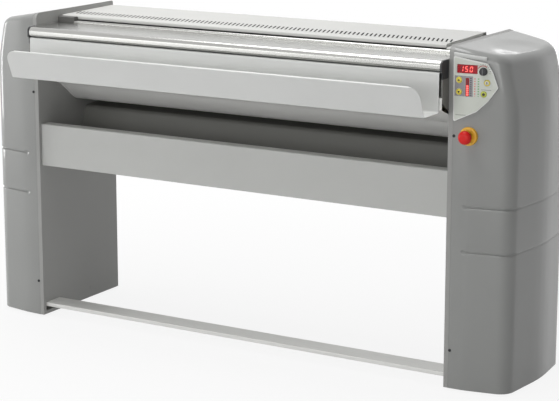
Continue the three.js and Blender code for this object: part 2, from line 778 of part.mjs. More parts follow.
const bearingOuterFace = wallOuter + seatGap + bearingDepth;
const leftJournal = rollerLeftGap + rollerEndInset + sprocketPlane + sprocketThickness + journalOverhang;
const rightJournal = rollerRightGap + rollerEndInset + bearingOuterFace + journalOverhang;
addPart('left_roller_end', rollerEnd(leftJournal).rotate([0, 0, 180]), 'zinc', {
  position: [rollerLeft + rollerEndInset, rollerY, rollerZ],
});
addPart('right_roller_end', rollerEnd(rightJournal), 'zinc', {
  position: [rollerRight - rollerEndInset, rollerY, rollerZ],
});

function bearing() {
  const start = wallOuter + seatGap;
  return turned([
    [journalRadius + runningGap, start], [bearingRadius, start], [bearingRadius, start + bearingFlange],
    [bearingBossRadius, start + bearingFlange], [bearingBossRadius, start + bearingDepth],
    [journalRadius + runningGap, start + bearingDepth], [journalRadius + runningGap, start],
  ], 'x', [0, rollerY, rollerZ]);
}
addPart('left_roller_bearing', onSide(-1, bearing()), 'castAluminium');
addPart('right_roller_bearing', onSide(1, bearing()), 'castAluminium');

// ================================================================ roller drive
function toothed(teeth, tip, root, thickness) {
  const outline = [];
  for (let i = 0; i < teeth; i += 1) {
    for (const [share, radius] of [[0, root], [0.3, root], [0.5, tip], [0.8, tip]]) {
      const angle = (2 * Math.PI * (i + share)) / teeth;
      outline.push([radius * Math.cos(angle), radius * Math.sin(angle)]);
    }
  }
  return alongX(outline, 0, thickness);
}

const rollerSprocketTip = (rollerSprocketTeeth * toothPitch) / (2 * Math.PI);
const motorSprocketTip = (motorSprocketTeeth * toothPitch) / (2 * Math.PI);
const leftSprocketX = -halfWidth - sprocketPlane - sprocketThickness;
addPart(
  'roller_sprocket',
  cut(
    toothed(rollerSprocketTeeth, rollerSprocketTip, rollerSprocketTip - toothDepth, sprocketThickness),
    rod(journalRadius + seatGap, -overrun, overrun, 'x', [0, 0, 0]),
  ),
  'zinc',
  { position: [leftSprocketX, rollerY, rollerZ] },
);
addPart(
  'motor_sprocket',
  join(
    toothed(motorSprocketTeeth, motorSprocketTip, motorSprocketTip - toothDepth, sprocketThickness),
    rod(motorShaftRadius, -gearboxDepth * 0.5, sprocketThickness * 0.5, 'x', [0, 0, 0]),
  ),
  'zinc',
  { position: [leftSprocketX, motorY, motorZ] },
);

// A loop round both sprockets, with the given play outside their tooth tips.
function chainOutline(play) {
  const [r1, r2] = [rollerSprocketTip + play, motorSprocketTip + play];
  const axisAngle = Math.atan2(motorZ - rollerZ, motorY - rollerY);
  const span = Math.hypot(motorY - rollerY, motorZ - rollerZ);
  const lean = Math.acos((r1 - r2) / span);
  const outline = [];
  const arcs = [
    [rollerY, rollerZ, r1, axisAngle + lean, axisAngle + 2 * Math.PI - lean],
    [motorY, motorZ, r2, axisAngle - lean, axisAngle + lean],
  ];
  for (const [y, z, radius, from, to] of arcs) {
    const steps = Math.ceil((to - from) / (12 * degree));
    for (let k = 0; k <= steps; k += 1) {
      const angle = from + ((to - from) * k) / steps;
      outline.push([y + radius * Math.cos(angle), z + radius * Math.sin(angle)]);
    }
  }
  return outline;
}
addPart(
  'drive_chain',
  cut(
    alongX(chainOutline(chainPlay + chainThickness), leftSprocketX, leftSprocketX + sprocketThickness),
    alongX(chainOutline(chainPlay), leftSprocketX - overrun, leftSprocketX + overrun),
  ),
  'zinc',
);

function gearmotor() {
  const near = sprocketPlane + sprocketThickness + gearboxGap;
  const [y, z] = [motorY, motorZ];
  const reach = gearboxSize / 2;
  const low = z - reach;
  const box = block(near, near + gearboxDepth, y - reach, y + reach, low, z + reach);
  const motor = turned([
    [0, low - motorLength], [motorNoseRadius, low - motorLength],
    [motorRadius, low - motorLength + motorNose], [motorRadius, low - motorFlange],
    [motorFlangeRadius, low - motorFlange], [motorFlangeRadius, low + 1], [0, low + 1],
  ], 'z', [near + gearboxDepth / 2, y, 0], smallSteps);
  const bracketReach = motorBracketWidth / 2;
  const bracket = block(
    wallOuter + seatGap, near + 1, y - bracketReach, y + bracketReach, low, low + motorBracket,
  );
  const bore = rod(motorShaftRadius + runningGap, 0, near + gearboxDepth * 0.6, 'x', [0, y, z]);
  return cut(join(box, motor, bracket), bore);
}
addPart('gearmotor', onSide(-1, gearmotor()), 'castAluminium');

// ================================================================ heated chest
const arcPath = (radius, from, to, step = 5) => {
  const count = Math.ceil(Math.abs(to - from) / step);
  return Array.from({ length: count + 1 }, (_, i) => roundRoller(from + ((to - from) * i) / count, radius));
};
const aboutPivot = (path) => path.map(([y, z]) => [y - pivotY, z - pivotZ]);
const chestLeft = rollerLeft - chestEndGap;
const chestRight = rollerRight + chestEndGap;
const chestMiddle = (chestInner + chestOuter) / 2;
const chestPath = [
  ...arcPath(chestMiddle, chestRearAngle, chestFrontAngle),
  [rollerY - rollerRadius - chestLipForward, rollerZ + chestLipTop],
];
const openPlace = { position: [0, pivotY, pivotZ], turnX: openAngle };
const insulationMiddle = (insulationInner + insulationOuter) / 2;
const insulationPath = arcPath(insulationMiddle, insulationRearAngle, insulationFrontAngle, 10);
const chestPlates = [
  ['heated_chest', chestPath, chestThickness, 'castAluminium'],
  ['chest_insulation', insulationPath, insulationThickness, 'wool'],
];
for (const [name, path, thickness, finish] of chestPlates) {
  addPart(name, alongX(bentSheet(aboutPivot(path), thickness), chestLeft, chestRight), finish, openPlace);
}
heaterAngles.forEach((angle, i) => {
  const [y, z] = aboutPivot([roundRoller(angle, heaterCentre)])[0];
  const [leftOverhang, rightOverhang] = heaterOverhang;
  const heater = rod(heaterRadius, chestLeft - leftOverhang, chestRight + rightOverhang, 'x', [0, y, z], 12);
  addPart(`heater_${i + 1}`, heater, 'zinc', openPlace);
});
const shaftReach = halfWidth + leverPlane + leverThickness + shaftEnd;
addPart(
  'chest_shaft',
  rod(chestShaftRadius, -shaftReach + leverPlane, shaftReach, 'x', [0, 0, 0]),
  'zinc',
  { position: [0, pivotY, pivotZ] },
);

function chestLever() {
  const [near, rear] = [leverPlane, leverPlane + leverThickness];
  const [low, high] = [leverZ - leverHeight / 2, leverZ + leverHeight / 2];
  const hub = rod(leverHubRadius, near, rear, 'x', [0, pivotY, pivotZ]);
  const arm = block(near, rear, pivotY - leverLength, pivotY, low, high);
  return cut(join(hub, arm), rod(chestShaftRadius + seatGap, 0, overrun * 2, 'x', [0, pivotY, pivotZ]));
}
addPart('chest_lever', onSide(1, chestLever()), 'zinc');

const rodX = halfWidth + leverPlane + leverThickness / 2;
const rodTop = leverZ - leverHeight / 2 - openPivotGap;
const actuatorTop = rodTop - rodHeadHeight - rodTravelRoom;
addPart(
  'actuator_rod',
  turned([
    [0, actuatorTop - rodEngagement], [rodRadius, actuatorTop - rodEngagement],
    [rodRadius, rodTop - rodHeadHeight], [rodHeadRadius, rodTop - rodHeadHeight], [rodHeadRadius, rodTop],
    [0, rodTop],
  ], 'z', [0, 0, 0], smallSteps),
  'zinc',
  { position: [rodX, rodY, 0] },
);

function actuatorBody() {
  const u = rodX - halfWidth;
  const reach = actuatorWidth / 2;
  const low = actuatorTop - actuatorHeight;
  const motorTop = low + actuatorMotorOverlap;
  const gearcase = block(
    wallOuter + seatGap, u + reach, rodY - reach, rodY + reach, low, low + gearcaseHeight,
  );
  const barrel = rod(actuatorBarrelRadius, low + 10, actuatorTop, 'z', [u, rodY, 0], smallSteps);
  const foot = block(
    wallOuter + seatGap, u, rodY - actuatorBracketWidth / 2, rodY + actuatorBracketWidth / 2,
    low + gearcaseHeight - 10, actuatorTop - 10,
  );
  const motor = rod(
    actuatorMotorRadius, motorTop - actuatorMotorLength, motorTop, 'z', [u + 2, rodY, 0], smallSteps,
  );
  const boreEnd = actuatorTop - rodEngagement - rodBottomRoom;
  const bore = rod(rodRadius + runningGap, boreEnd, actuatorTop + overrun, 'z', [u, rodY, 0]);
  return cut(join(gearcase, barrel, foot, motor), bore);
}
addPart('chest_actuator', onSide(1, actuatorBody()), 'blackPlastic');

// ================================================================ feed table, tray and guard
const tableHalf = halfWidth - tableEndGap;
const tableMid = tableSheet / 2;
addPart(
  'feed_table',
  sheetAlongX([
    [tableFront + tableReturn, tableTop - noseHeight + tableMid],
    [tableFront + tableMid, tableTop - noseHeight + tableMid, bendRadius],
    [tableFront + tableMid, tableTop - tableMid, noseRadius],
    [tableRear - tableMid, tableTop - tableMid, bendRadius],
    [tableRear - tableMid, tableTop - guardHeight + guardRise],
  ], tableSheet, -tableHalf, tableHalf),
  'polished',
);

function tableBracket() {
  const low = tableTop - bracketHeight;
  const outline = rounded([
    [tableFront, tableTop - noseHeight],
    [tableFront + bracketStep, tableTop - noseHeight - bracketStep],
    [tableFront + bracketStep, low + bracketSlope],
    [sheet, low],
    [bracketDepth - tableReach, low],
    [bracketDepth - tableReach, tableTop],
    [tableFront, tableTop, noseRadius],
  ], true);
  return alongX(outline, -seatGap - bracketPlate, -seatGap);
}
addPart('left_table_bracket', onSide(-1, tableBracket()), 'blackPlastic');
addPart('right_table_bracket', onSide(1, tableBracket()), 'blackPlastic');

function feedTray() {
  const mid = traySheet / 2;
  const lipTop = trayFloor + trayLipHeight;
  const floorFront = tableFront - trayFloorDepth;
  const end = halfWidth - trayEndGap;
  const folded = sheetAlongX([
    [tableFront + trayReturn, trayTop - mid],
    [tableFront + mid, trayTop - mid, bendRadius],
    [tableFront + mid, trayFloor + mid, trayHeelRadius],
    [floorFront + mid, trayFloor + mid, trayToeRadius],
    [floorFront - trayLipLean + mid, lipTop - mid, bendRadius],
    [floorFront - trayLipLean + trayRim, lipTop + 1],
  ], traySheet, -end, end);
  const cornerCuts = [-1, 1].map((side) => {
    const [cx, cz] = [side * (end - trayCornerRadius), lipTop - trayCornerRadius];
    const outline = [[side * (end + 5), cz], [side * (end + 5), lipTop + 10], [cx, lipTop + 10]];
    for (let k = 0; k <= 6; k += 1) {
      const angle = (Math.PI / 2) * (1 - k / 6);
      const [du, dz] = [Math.cos(angle), Math.sin(angle)];
      outline.push([cx + side * trayCornerRadius * du, cz + trayCornerRadius * dz]);
    }
    return alongY(outline, floorFront - trayLipLean - overrun, floorFront);
  });
  return cut(folded, ...cornerCuts);
}
addPart('feed_tray', feedTray(), 'paleSteel');

const guardLeft = -halfWidth + guardLeftInset;
const guardRight = halfWidth - guardRightInset;

function infeedGuard() {
  const reach = guardWidth / 2;
  const rise = guardHeight - guardPinHeight;
  const outline = rounded([
    [-reach, -guardPinHeight, 2], [reach, -guardPinHeight, 2], [reach, rise, 3], [-reach, rise, 5],
  ], true);
  const bar = cut(
    alongX(outline, guardLeft, guardRight),
    block(
      guardLeft + guardEndWall, guardRight - guardEndWall, guardSheet - reach, reach - guardSheet,
      -guardPinHeight - overrun, rise - guardSheet,
    ),
  );
  const leftPin = rod(guardPinRadius, guardLeft - guardPinLength, guardLeft + 5, 'x', [0, 0, 0]);
  const rightPin = rod(guardPinRadius, guardRight - 5, halfWidth + sheet + guardPinEnd, 'x', [0, 0, 0]);
  return join(bar, leftPin, rightPin);
}
addPart('infeed_guard', infeedGuard(), 'polished', { position: [0, guardPinY, guardPinZ] });

function guardBlock() {
  const [rear, low, high] = [guardFront + blockDepth, guardBottom - blockDrop, tableTop + blockRise];
  const outline = rounded([
    [guardFront, low, 2], [rear, low, 2], [rear, high, 4], [guardFront, high, 4],
  ], true);
  const pinEnd = guardLeft - guardPinLength - 4;
  return cut(
    alongX(outline, -halfWidth + seatGap, guardLeft - seatGap),
    rod(guardPinRadius + runningGap, pinEnd, guardLeft + overrun, 'x', [0, guardPinY, guardPinZ]),
  );
}
addPart('guard_switch_block', guardBlock(), 'darkSteel');

// ================================================================ hood
function hoodSkin(x0, x1, drop) {
  const mid = hoodSheet / 2;
  return sheetAlongX([
    [hoodFront + hoodFrontReturn, hoodTopFront - hoodFrontEdge + mid - drop],
    [hoodFront + mid, hoodTopFront - hoodFrontEdge + mid - drop, hoodReturnRadius],
    [hoodFront + mid, hoodTopFront - mid - drop, hoodFrontRadius],
    [cabinetDepth - hoodRearInset, hoodTopRear - mid - drop, hoodRearRadius],
    [cabinetDepth - hoodRearInset, hoodTopRear - hoodRearFlange - drop],
  ], hoodSheet, x0, x1);
}

const firstSlotX = -halfWidth + firstSlotInset;
const slotTools = Array.from({ length: slotCount }, (_, i) => {
  const tool = new THREE.BoxGeometry(slotWidth, slotLength, overrun).rotateZ(slotLean * degree);
  return toSolid(tool.translate(firstSlotX + i * slotPitch, hoodFront + slotSetback, hoodTopFront));
});
addPart(
  'vent_hood',
  cut(hoodSkin(-halfWidth + hoodLeftGap, hoodRight, 0), slotTools.reduce((sum, tool) => sum.add(tool))),
  'hoodWhite',
);
const endPlate = hoodSkin(hoodRight + seatGap, halfWidth - seatGap, hoodEndPlateDrop);
addPart('hood_end_plate', endPlate, 'hoodWhite');

// ================================================================ panels between the cabinets
const span = halfWidth - seatGap;
const beamMid = beamSheet / 2;
addPart(
  'front_crossbeam',
  sheetAlongX([
    [beamSetback + beamFlange, beamTop - beamUpperReturn],
    [beamSetback + beamFlange, beamTop - beamMid, bendRadius],
    [beamSetback + beamMid, beamTop - beamMid, bendRadius],
    [beamSetback + beamMid, beamBottom + beamMid, bendRadius],
    [beamSetback + beamFlange, beamBottom + beamMid],
  ], beamSheet, -span, span),
  'paintedSteel',
);

const backY = cabinetDepth - backPanelInset;
addPart(
  'back_panel',
  sheetAlongX([
    [backY - backPanelReturn, beamBottom + 1],
    [backY, beamBottom + 1, bendRadius],
    [backY, cabinetHeight - backPanelTopDrop],
  ], panelSheet, -span, span),
  'paintedSteel',
);

const bellyAt = (angle, extra = 0) => roundRoller(angle, bellyRadius + extra);
addPart(
  'belly_shell',
  sheetAlongX([
    [tableFront + traySheet + panelSeat, trayFloor + 45],
    [tableFront + traySheet + panelSeat, trayFloor + 9, 4],
    [...bellyAt(153, 30), 60],
    [...bellyAt(120, 14), 70],
    [...bellyAt(97, 1), 60],
    [...bellyAt(80, 1), 60],
    [...bellyAt(56)],
  ], panelSheet, -span, span),
  'paintedSteel',
);

const bellyBottom = rollerZ - bellyRadius;
const binFloor = beamBottom + binFloorRise;
addPart(
  'return_chute',
  sheetAlongX([
    [beamSetback + beamSheet + panelSeat, beamTop - 40],
    [beamSetback + beamSheet + panelSeat, binFloor, 10],
    [beamSetback + binDepth, binFloor, 60],
    [rollerY - 30, bellyBottom - chuteGap + 2, 18],
    [rollerY + 45, bellyBottom - chuteGap + 6, 60],
    [cabinetDepth - 22, pivotZ - 40, 40],
    [cabinetDepth - chuteRearGap, pivotZ + 30, 40],
    [cabinetDepth - chuteRearGap, rollerZ + 40],
  ], panelSheet, -span, span),
  'darkSteel',
);

// ================================================================ foot bar
const pedalMid = pedalSheet / 2;
const barHalf = halfWidth + pedalEndReach;
const pedalBottom = pedalTop - pedalHeight;
addPart(
  'pedal_bar',
  sheetAlongX([
    [pedalSetback + pedalMid, pedalBottom],
    [pedalSetback + pedalMid, pedalTop - pedalMid, bendRadius],
    [pedalSetback + pedalWidth - pedalMid, pedalTop - pedalMid, bendRadius],
    [pedalSetback + pedalWidth - pedalMid, pedalBottom],
  ], pedalSheet, -barHalf, barHalf),
  'brushed',
);

function pedalArm() {
  const near = pedalEndReach + seatGap;
  const tail = pedalPivotSetback + pedalArmTail;
  const arm = block(near, near + pedalArmThickness, pedalSetback, tail, pedalBottom, pedalTop);
  const pin = rod(pedalPinRadius, -1, near + 1, 'x', [0, pedalPivotSetback, pedalPivotZ]);
  const collar = rod(pedalCollarRadius, wallOuter + 2, near + 1, 'x', [0, pedalPivotSetback, pedalPivotZ]);
  return join(arm, pin, collar);
}
addPart('left_pedal_arm', onSide(-1, pedalArm()), 'zinc');
addPart('right_pedal_arm', onSide(1, pedalArm()), 'zinc');

// ================================================================ controls on the right cabinet
const plateFace = cabinetForm(-seatGap - plateThickness);
const plateBack = cabinetForm(-seatGap);
const frontHalf = block(-overrun, far, -overrun * 2, cabinetDepth / 2, -overrun, far);
const plate = cut(plateFace, plateBack).intersect(alongY(plateOutline, -overrun * 2, cabinetDepth / 3));
addPart('control_plate', onSide(1, cut(plate, ...windowCuts, ...buttonCuts, knobCut)), 'labelPlate');

function displayModule() {
  const behind = coverWall + 2 * seatGap;
  const carrierForm = cut(cabinetForm(behind), cabinetForm(behind + moduleThickness)).intersect(frontHalf);
  const [u0, z0, u1, z1] = displayRect;
  const [v0, w0, v1] = levelRect;
  const edge = displayMargin; // the carrier stays clear of the side frame's lip
  const carrier = [
    [u0 - edge, z0 - moduleMargin], [v0 - moduleMargin, z0 - moduleMargin],
    [v0 - moduleMargin, w0 - moduleMargin], [v1 + moduleMargin, w0 - moduleMargin],
    [v1 + moduleMargin, z0 - moduleMargin], [u1 + moduleMargin, z0 - moduleMargin],
    [u1 + moduleMargin, z1 + moduleMargin], [u0 - edge, z1 + moduleMargin],
  ];
  const base = carrierForm.intersect(alongY(carrier, -overrun, overrun * 3));
  const lensFace = cabinetForm(windowRecess - seatGap - plateThickness);
  const lensForm = cut(lensFace, cabinetForm(behind + 1)).intersect(frontHalf);
  const lenses = [displayRect, levelRect].map((rect) => lensForm.intersect(
    alongY(rectOutline(rect, -seatGap), -overrun, overrun * 3),
  ));
  return join(base, ...lenses);
}
addPart('display_module', onSide(1, displayModule()), 'redGlass');

const plateDepth = plateThickness + seatGap;
for (const [name, centre] of Object.entries(buttonCentres)) {
  const [u, z] = fromTop(centre);
  const { y, tilt } = frontAt(u);
  const rear = coverWall + seatGap + buttonFlangeThickness + 0.3;
  const face = -plateDepth - buttonProud;
  addPart(name, turned([
    [0, face], [buttonRadius - buttonEdge, face], [buttonRadius, face + buttonEdge],
    [buttonRadius, coverWall + 2 * seatGap], [buttonRadius + buttonFlange, coverWall + 2 * seatGap],
    [buttonRadius + buttonFlange, rear], [0, rear],
  ], 'y', [0, 0, 0], smallSteps), 'yellowPlastic', {
    position: [halfWidth + u, y, z],
    turnZ: tilt,
  });
}

const knobFrame = frontAt(knobPlace[0]);
const knobFace = -plateDepth - knobHeight;
const knobPointer = block(
  -pointerWidth / 2, pointerWidth / 2, knobFace - pointerHeight, knobFace + 1,
  -pointerLength / 2, pointerLength / 2,
);
const knobBody = turned([
  [0, knobFace], [knobRadius - knobEdge, knobFace], [knobRadius, knobFace + knobEdge],
  [knobRadius, -plateDepth - seatGap], [knobShaftRadius, -plateDepth - seatGap],
  [knobShaftRadius, coverWall + knobShaftEnd], [0, coverWall + knobShaftEnd],
], 'y', [0, 0, 0], smallSteps);
addPart('mode_knob', join(knobBody, knobPointer), 'blackPlastic', {
  position: [halfWidth + knobPlace[0], knobFrame.y, knobPlace[1]],
  turnZ: knobFrame.tilt,
});

const collar = cut(
  turned([
    [0, -stopCollarHeight], [stopCollarRadius - stopCollarEdge, -stopCollarHeight],
    [stopCollarRadius, -stopCollarHeight + stopCollarEdge], [stopCollarRadius, overrun], [0, overrun],
  ], 'y', [stopU, 0, stopZ]),
  cabinetForm(-seatGap),
  stopCut,
);
addPart('stop_collar', onSide(1, collar), 'yellowPlastic');
const noseFront = -stopStemFront - stopNoseLength;
const stopAxis = { position: [halfWidth + stopU, 0, stopZ] };
const stem = turned([
  [0, noseFront], [stopNoseRadius, noseFront], [stopNoseRadius, -stopStemFront],
  [stopStemRadius, -stopStemFront], [stopStemRadius, stopStemRear], [0, stopStemRear],
], 'y', [0, 0, 0]);
addPart('stop_stem', stem, 'blackPlastic', stopAxis);
const capRear = -stopStemFront - seatGap;
const capFront = capRear - stopCapHeight;
const boreRadius = stopNoseRadius + runningGap;
const boreEnd = noseFront - 2 * seatGap;
const cap = turned([
  [0, capFront], [stopCapRadius * 0.55, capFront + 0.6], [stopCapRadius * 0.85, capFront + 3],
  [stopCapRadius, capFront + 8], [stopCapRadius, capRear - 3], [stopCapRadius - 3, capRear],
  [boreRadius, capRear], [boreRadius, boreEnd], [0, boreEnd],
], 'y', [0, 0, 0]);
addPart('stop_cap', cap, 'redPlastic', stopAxis);

// ================================================================ inside the cabinets
function fanHousing() {
  const centre = [0, fanSetback, fanHeight];
  const [near, rear, low] = [fanNear, fanNear + fanDepth, fanHeight - fanRadius];
  const footReach = fanFootWidth / 2;
  const drum = rod(fanRadius, near, rear, 'x', centre);
  const motor = rod(fanMotorRadius, rear - 1, rear + fanMotorDepth, 'x', centre, smallSteps);
  const duct = rod(spigotRadius, fanSetback, cabinetDepth + spigotReach, 'y', [fanSpigotU, 0, spigotZ]);
  const foot = block(
    wallOuter + seatGap, near + 3, fanSetback - footReach, fanSetback + footReach, low, low + fanFootHeight,
  );
  const chamber = rod(fanRadius - fanWall, near + fanWall, rear - fanWall, 'x', centre);
  const inlet = rod(fanInletRadius, near - overrun, near + fanWall + 1, 'x', centre);
  const boreRear = rear + fanMotorDepth - 8;
  const shaftBore = rod(fanShaftRadius + runningGap, rear - fanWall - 1, boreRear, 'x', centre, smallSteps);
  const ductBore = rod(spigotRadius - spigotWall, fanSetback + 10, far, 'y', [fanSpigotU, 0, spigotZ]);
  return cut(join(drum, motor, duct, foot), chamber, inlet, shaftBore, ductBore);
}
addPart('fan_housing', onSide(-1, fanHousing()), 'castAluminium');

function fanRotor() {
  const hubRadius = fanRotorRadius - fanBladeDepth;
  const blade = [[0, hubRadius], [0.55, hubRadius], [0.7, fanRotorRadius], [0.85, fanRotorRadius]];
  const outline = [];
  for (let i = 0; i < fanBlades; i += 1) {
    for (const [share, radius] of blade) {
      const angle = (2 * Math.PI * (i + share)) / fanBlades;
      outline.push([radius * Math.cos(angle), radius * Math.sin(angle)]);
    }
  }
  const face = fanRotorDepth / 2;
  const shaftRear = fanDepth / 2 + fanMotorDepth - 12;
  const wheel = alongX(outline, -face, face);
  const eye = rod(fanInletRadius * 0.8, -fanRotorDepth, face - 4, 'x', [0, 0, 0], smallSteps);
  const shaft = rod(fanShaftRadius, face - 5, shaftRear, 'x', [0, 0, 0], smallSteps);
  return join(cut(wheel, eye), shaft).rotate([0, 0, 180]);
}
addPart('fan_rotor', fanRotor(), 'castAluminium', {
  position: [-halfWidth - fanSpigotU, fanSetback, fanHeight],
});

function controlBoard() {
  const u = wallOuter + seatGap;
  const [y, z] = [boardSetback, boardBottom];
  const face = u + boardPlate;
  const plateBody = block(u, face, y, y + boardWidth, z, z + boardHeight);
  const modules = boardModules.map(([dy, dz, width, height, depth]) => {
    const rear = Math.min(y + dy + width, y + boardWidth - boardMargin);
    return block(face - 0.5, face + depth, y + dy, rear, z + dz, z + dz + height);
  });
  return join(plateBody, ...modules);
}
addPart('control_board', onSide(1, controlBoard()), 'boardGreen');

function cableGland() {
  const front = cabinetDepth - glandDepth;
  const rear = cabinetDepth + glandReach;
  return turned([
    [glandHole, front], [glandRadius, front], [glandRadius, cabinetDepth + seatGap],
    [glandFlange, cabinetDepth + seatGap], [glandFlange, cabinetDepth + glandFlangeDepth],
    [glandRadius, cabinetDepth + glandFlangeDepth + 1], [glandRadius * 0.7, rear], [glandHole, rear],
    [glandHole, front],
  ], 'y', [footOffset, 0, glandHeight], smallSteps);
}
addPart('cable_gland', onSide(1, cableGland()), 'blackPlastic');

// ================================================================ assembly
// The origin lies on the floor, in the middle of the whole machine's footprint.
const ironer = new THREE.Group();
parts.forEach((mesh) => ironer.add(mesh));
const footprint = new THREE.Box3().setFromObject(ironer);
ironer.position.y = -(footprint.min.y + footprint.max.y) / 2;

export default ironer;
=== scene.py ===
import math

import bmesh
import bpy
from mathutils import Matrix, Vector


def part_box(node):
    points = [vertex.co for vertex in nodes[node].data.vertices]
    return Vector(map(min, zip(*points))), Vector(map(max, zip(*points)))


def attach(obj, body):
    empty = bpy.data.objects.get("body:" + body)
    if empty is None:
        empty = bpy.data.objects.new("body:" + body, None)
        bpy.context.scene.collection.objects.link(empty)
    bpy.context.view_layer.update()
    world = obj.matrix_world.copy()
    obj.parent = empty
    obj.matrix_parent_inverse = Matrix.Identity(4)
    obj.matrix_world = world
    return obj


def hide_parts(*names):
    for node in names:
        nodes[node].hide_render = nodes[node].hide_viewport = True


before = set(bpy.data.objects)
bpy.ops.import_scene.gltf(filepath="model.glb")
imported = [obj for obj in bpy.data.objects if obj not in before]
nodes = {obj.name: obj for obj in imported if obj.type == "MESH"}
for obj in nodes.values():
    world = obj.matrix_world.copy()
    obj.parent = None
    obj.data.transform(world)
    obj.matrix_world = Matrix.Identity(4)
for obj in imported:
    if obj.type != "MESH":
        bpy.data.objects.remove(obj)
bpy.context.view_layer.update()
scene = bpy.context.scene
mm = 0.001
sides = {-1: "left", 1: "right"}

# Places are given in millimetres on the machine: x from its middle to the right, y from the
# cabinets' flat front to the rear, z up from the floor; u runs outwards from a cabinet's inner wall.
coverLow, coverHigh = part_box("right_cabinet_cover")
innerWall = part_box("back_panel")[1].x / mm + 0.3
frontPlane = coverLow.y
coverSize = dict(
    width=coverHigh.x / mm - innerWall,
    depth=(coverHigh.y - coverLow.y) / mm,
    bottom=coverLow.z / mm,
    top=1024,
)


def at(x, y, z):
    return Vector((x * mm, frontPlane + y * mm, z * mm))


# Camera, at the photograph's viewing angle
view = dict(place=(2957.9, -4682.8, 1740.3), turn=30.694, tilt=11.882, lens=117.907, shiftY=-0.05)
cameraData = bpy.data.cameras.new("camera")
cameraData.sensor_width = 36
cameraData.lens = view["lens"]
cameraData.shift_y = view["shiftY"]
cameraData.clip_end = 200
camera = bpy.data.objects.new("camera", cameraData)
camera.location = at(*view["place"])
camera.rotation_euler = (math.radians(90 - view["tilt"]), 0, math.radians(view["turn"]))
scene.collection.objects.link(camera)
scene.camera = camera
print("camera set")


# Shader helpers
class Value:
    def __init__(self, graph, socket):
        self.graph = graph
        self.socket = socket

    def combine(self, operation, other, swapped=False):
        pair = [other, self] if swapped else [self, other]
        return self.graph.node("ShaderNodeMath", {"operation": operation}, dict(enumerate(pair)))

    def __add__(self, other):
        return self.combine("ADD", other)

    def __sub__(self, other):
        return self.combine("SUBTRACT", other)

    def __rsub__(self, other):
        return self.combine("SUBTRACT", other, True)

    def __mul__(self, other):
        return self.combine("MULTIPLY", other)

    def __truediv__(self, other):
        return self.combine("DIVIDE", other)

    def __gt__(self, other):
        return self.combine("GREATER_THAN", other)

    def __lt__(self, other):
        return self.combine("LESS_THAN", other)

    def __pow__(self, other):
        return self.combine("POWER", other)

    __radd__ = __add__
    __rmul__ = __mul__


class Graph:
    def __init__(self, tree):
        self.tree = tree

    def plug(self, socket, value):
        if isinstance(value, Value):
            self.tree.links.new(value.socket, socket)
        else:
            socket.default_value = value

    def node(self, kind, settings=None, inputs=None, output=0):
        made = self.tree.nodes.new(kind)
        for key, value in (settings or {}).items():
            setattr(made, key, value)
        for key, value in (inputs or {}).items():
            self.plug(made.inputs[key], value)
        return Value(self, made.outputs[output]) if made.outputs else None

    # One for rays that show the surroundings, directly, mirrored or through glass; zero for rays that light.
    def seen(self):
        rays = self.node("ShaderNodeLightPath").socket.node.outputs
        camera, glossy, through = [Value(self, rays[f"Is {kind} Ray"]) for kind in ("Camera", "Glossy", "Transmission")]
        return (camera + glossy + through).combine("MINIMUM", 1)


class Finish(Graph):
    def __init__(self, name, colour, roughness, **fixed):
        self.material = bpy.data.materials.new(name)
        self.material.use_nodes = True
        super().__init__(self.material.node_tree)
        self.shader = self.tree.nodes["Principled BSDF"]
        self.set("Base Color", rgb(colour))
        self.set("Roughness", roughness)
        for socketName, value in fixed.items():
            self.set(socketName.replace("_", " "), value)

    def set(self, socketName, value):
        self.plug(self.shader.inputs[socketName], value)

    def coordinates(self, scale):
        source = self.node("ShaderNodeTexCoord", output="Object")
        return self.node("ShaderNodeMapping", {}, {"Vector": source, "Scale": scale})

    def axes(self):
        source = self.node("ShaderNodeTexCoord", output="Object")
        parted = self.node("ShaderNodeSeparateXYZ", {}, {"Vector": source})
        outputs = parted.socket.node.outputs
        return [Value(self, outputs[axis]) for axis in "XYZ"]

    def noise(self, size, detail=3, stretch=(1, 1, 1)):
        vector = self.coordinates([part / (size * mm) for part in stretch])
        return self.node("ShaderNodeTexNoise", {}, {"Vector": vector, "Scale": 1, "Detail": detail})

    def cells(self, size, output="Distance"):
        vector = self.coordinates([1 / (size * mm)] * 3)
        return self.node("ShaderNodeTexVoronoi", {}, {"Vector": vector, "Scale": 1}, output)

    def soft(self, value, low, high, start=0.0, end=1.0):
        places = {"Value": value, "From Min": low, "From Max": high, "To Min": start, "To Max": end}
        return self.node("ShaderNodeMapRange", {"interpolation_type": "SMOOTHSTEP"}, places)

    def blend(self, factor, first, second):
        return self.node("ShaderNodeMix", {"data_type": "RGBA"}, {0: factor, 6: first, 7: second}, 2)

    def tint(self, factor, colour, low, high):
        self.set("Base Color", self.blend(factor, rgb(shaded(colour, low)), rgb(shaded(colour, high))))

    def bump(self, height, distance, strength=1.0, under=None):
        inputs = {"Height": height, "Distance": distance * mm, "Strength": strength}
        if under is not None:
            inputs["Normal"] = under
        relief = self.node("ShaderNodeBump", {}, inputs)
        self.set("Normal", relief)
        return relief


def rgb(colour):
    return tuple((part / 255) ** 2.2 for part in colour) + (1,)


def shaded(colour, share):
    return tuple(min(255, part * share) for part in colour)


# Finishes
def mottled(finish, colour, amount, size):
    clouds = finish.noise(size, 4)
    finish.tint(clouds, colour, 1 - amount, 1 + amount)
    return clouds


def mouldedPlastic(name, colour, roughness):
    finish = Finish(name, colour, roughness, Coat_Weight=0.6, Coat_Roughness=0.1, Specular_IOR_Level=0.25)
    clouds = mottled(finish, colour, 0.02, 180)
    grain = finish.cells(0.9)
    fine = finish.noise(0.5, 2)
    finish.set("Roughness", clouds * 0.08 + grain * 0.06 + (roughness - 0.06))
    ripple = finish.bump(finish.noise(60, 1), 1.2, 0.35)
    finish.bump(grain * 0.6 + fine * 0.4, 0.05, 0.5, ripple)
    return finish


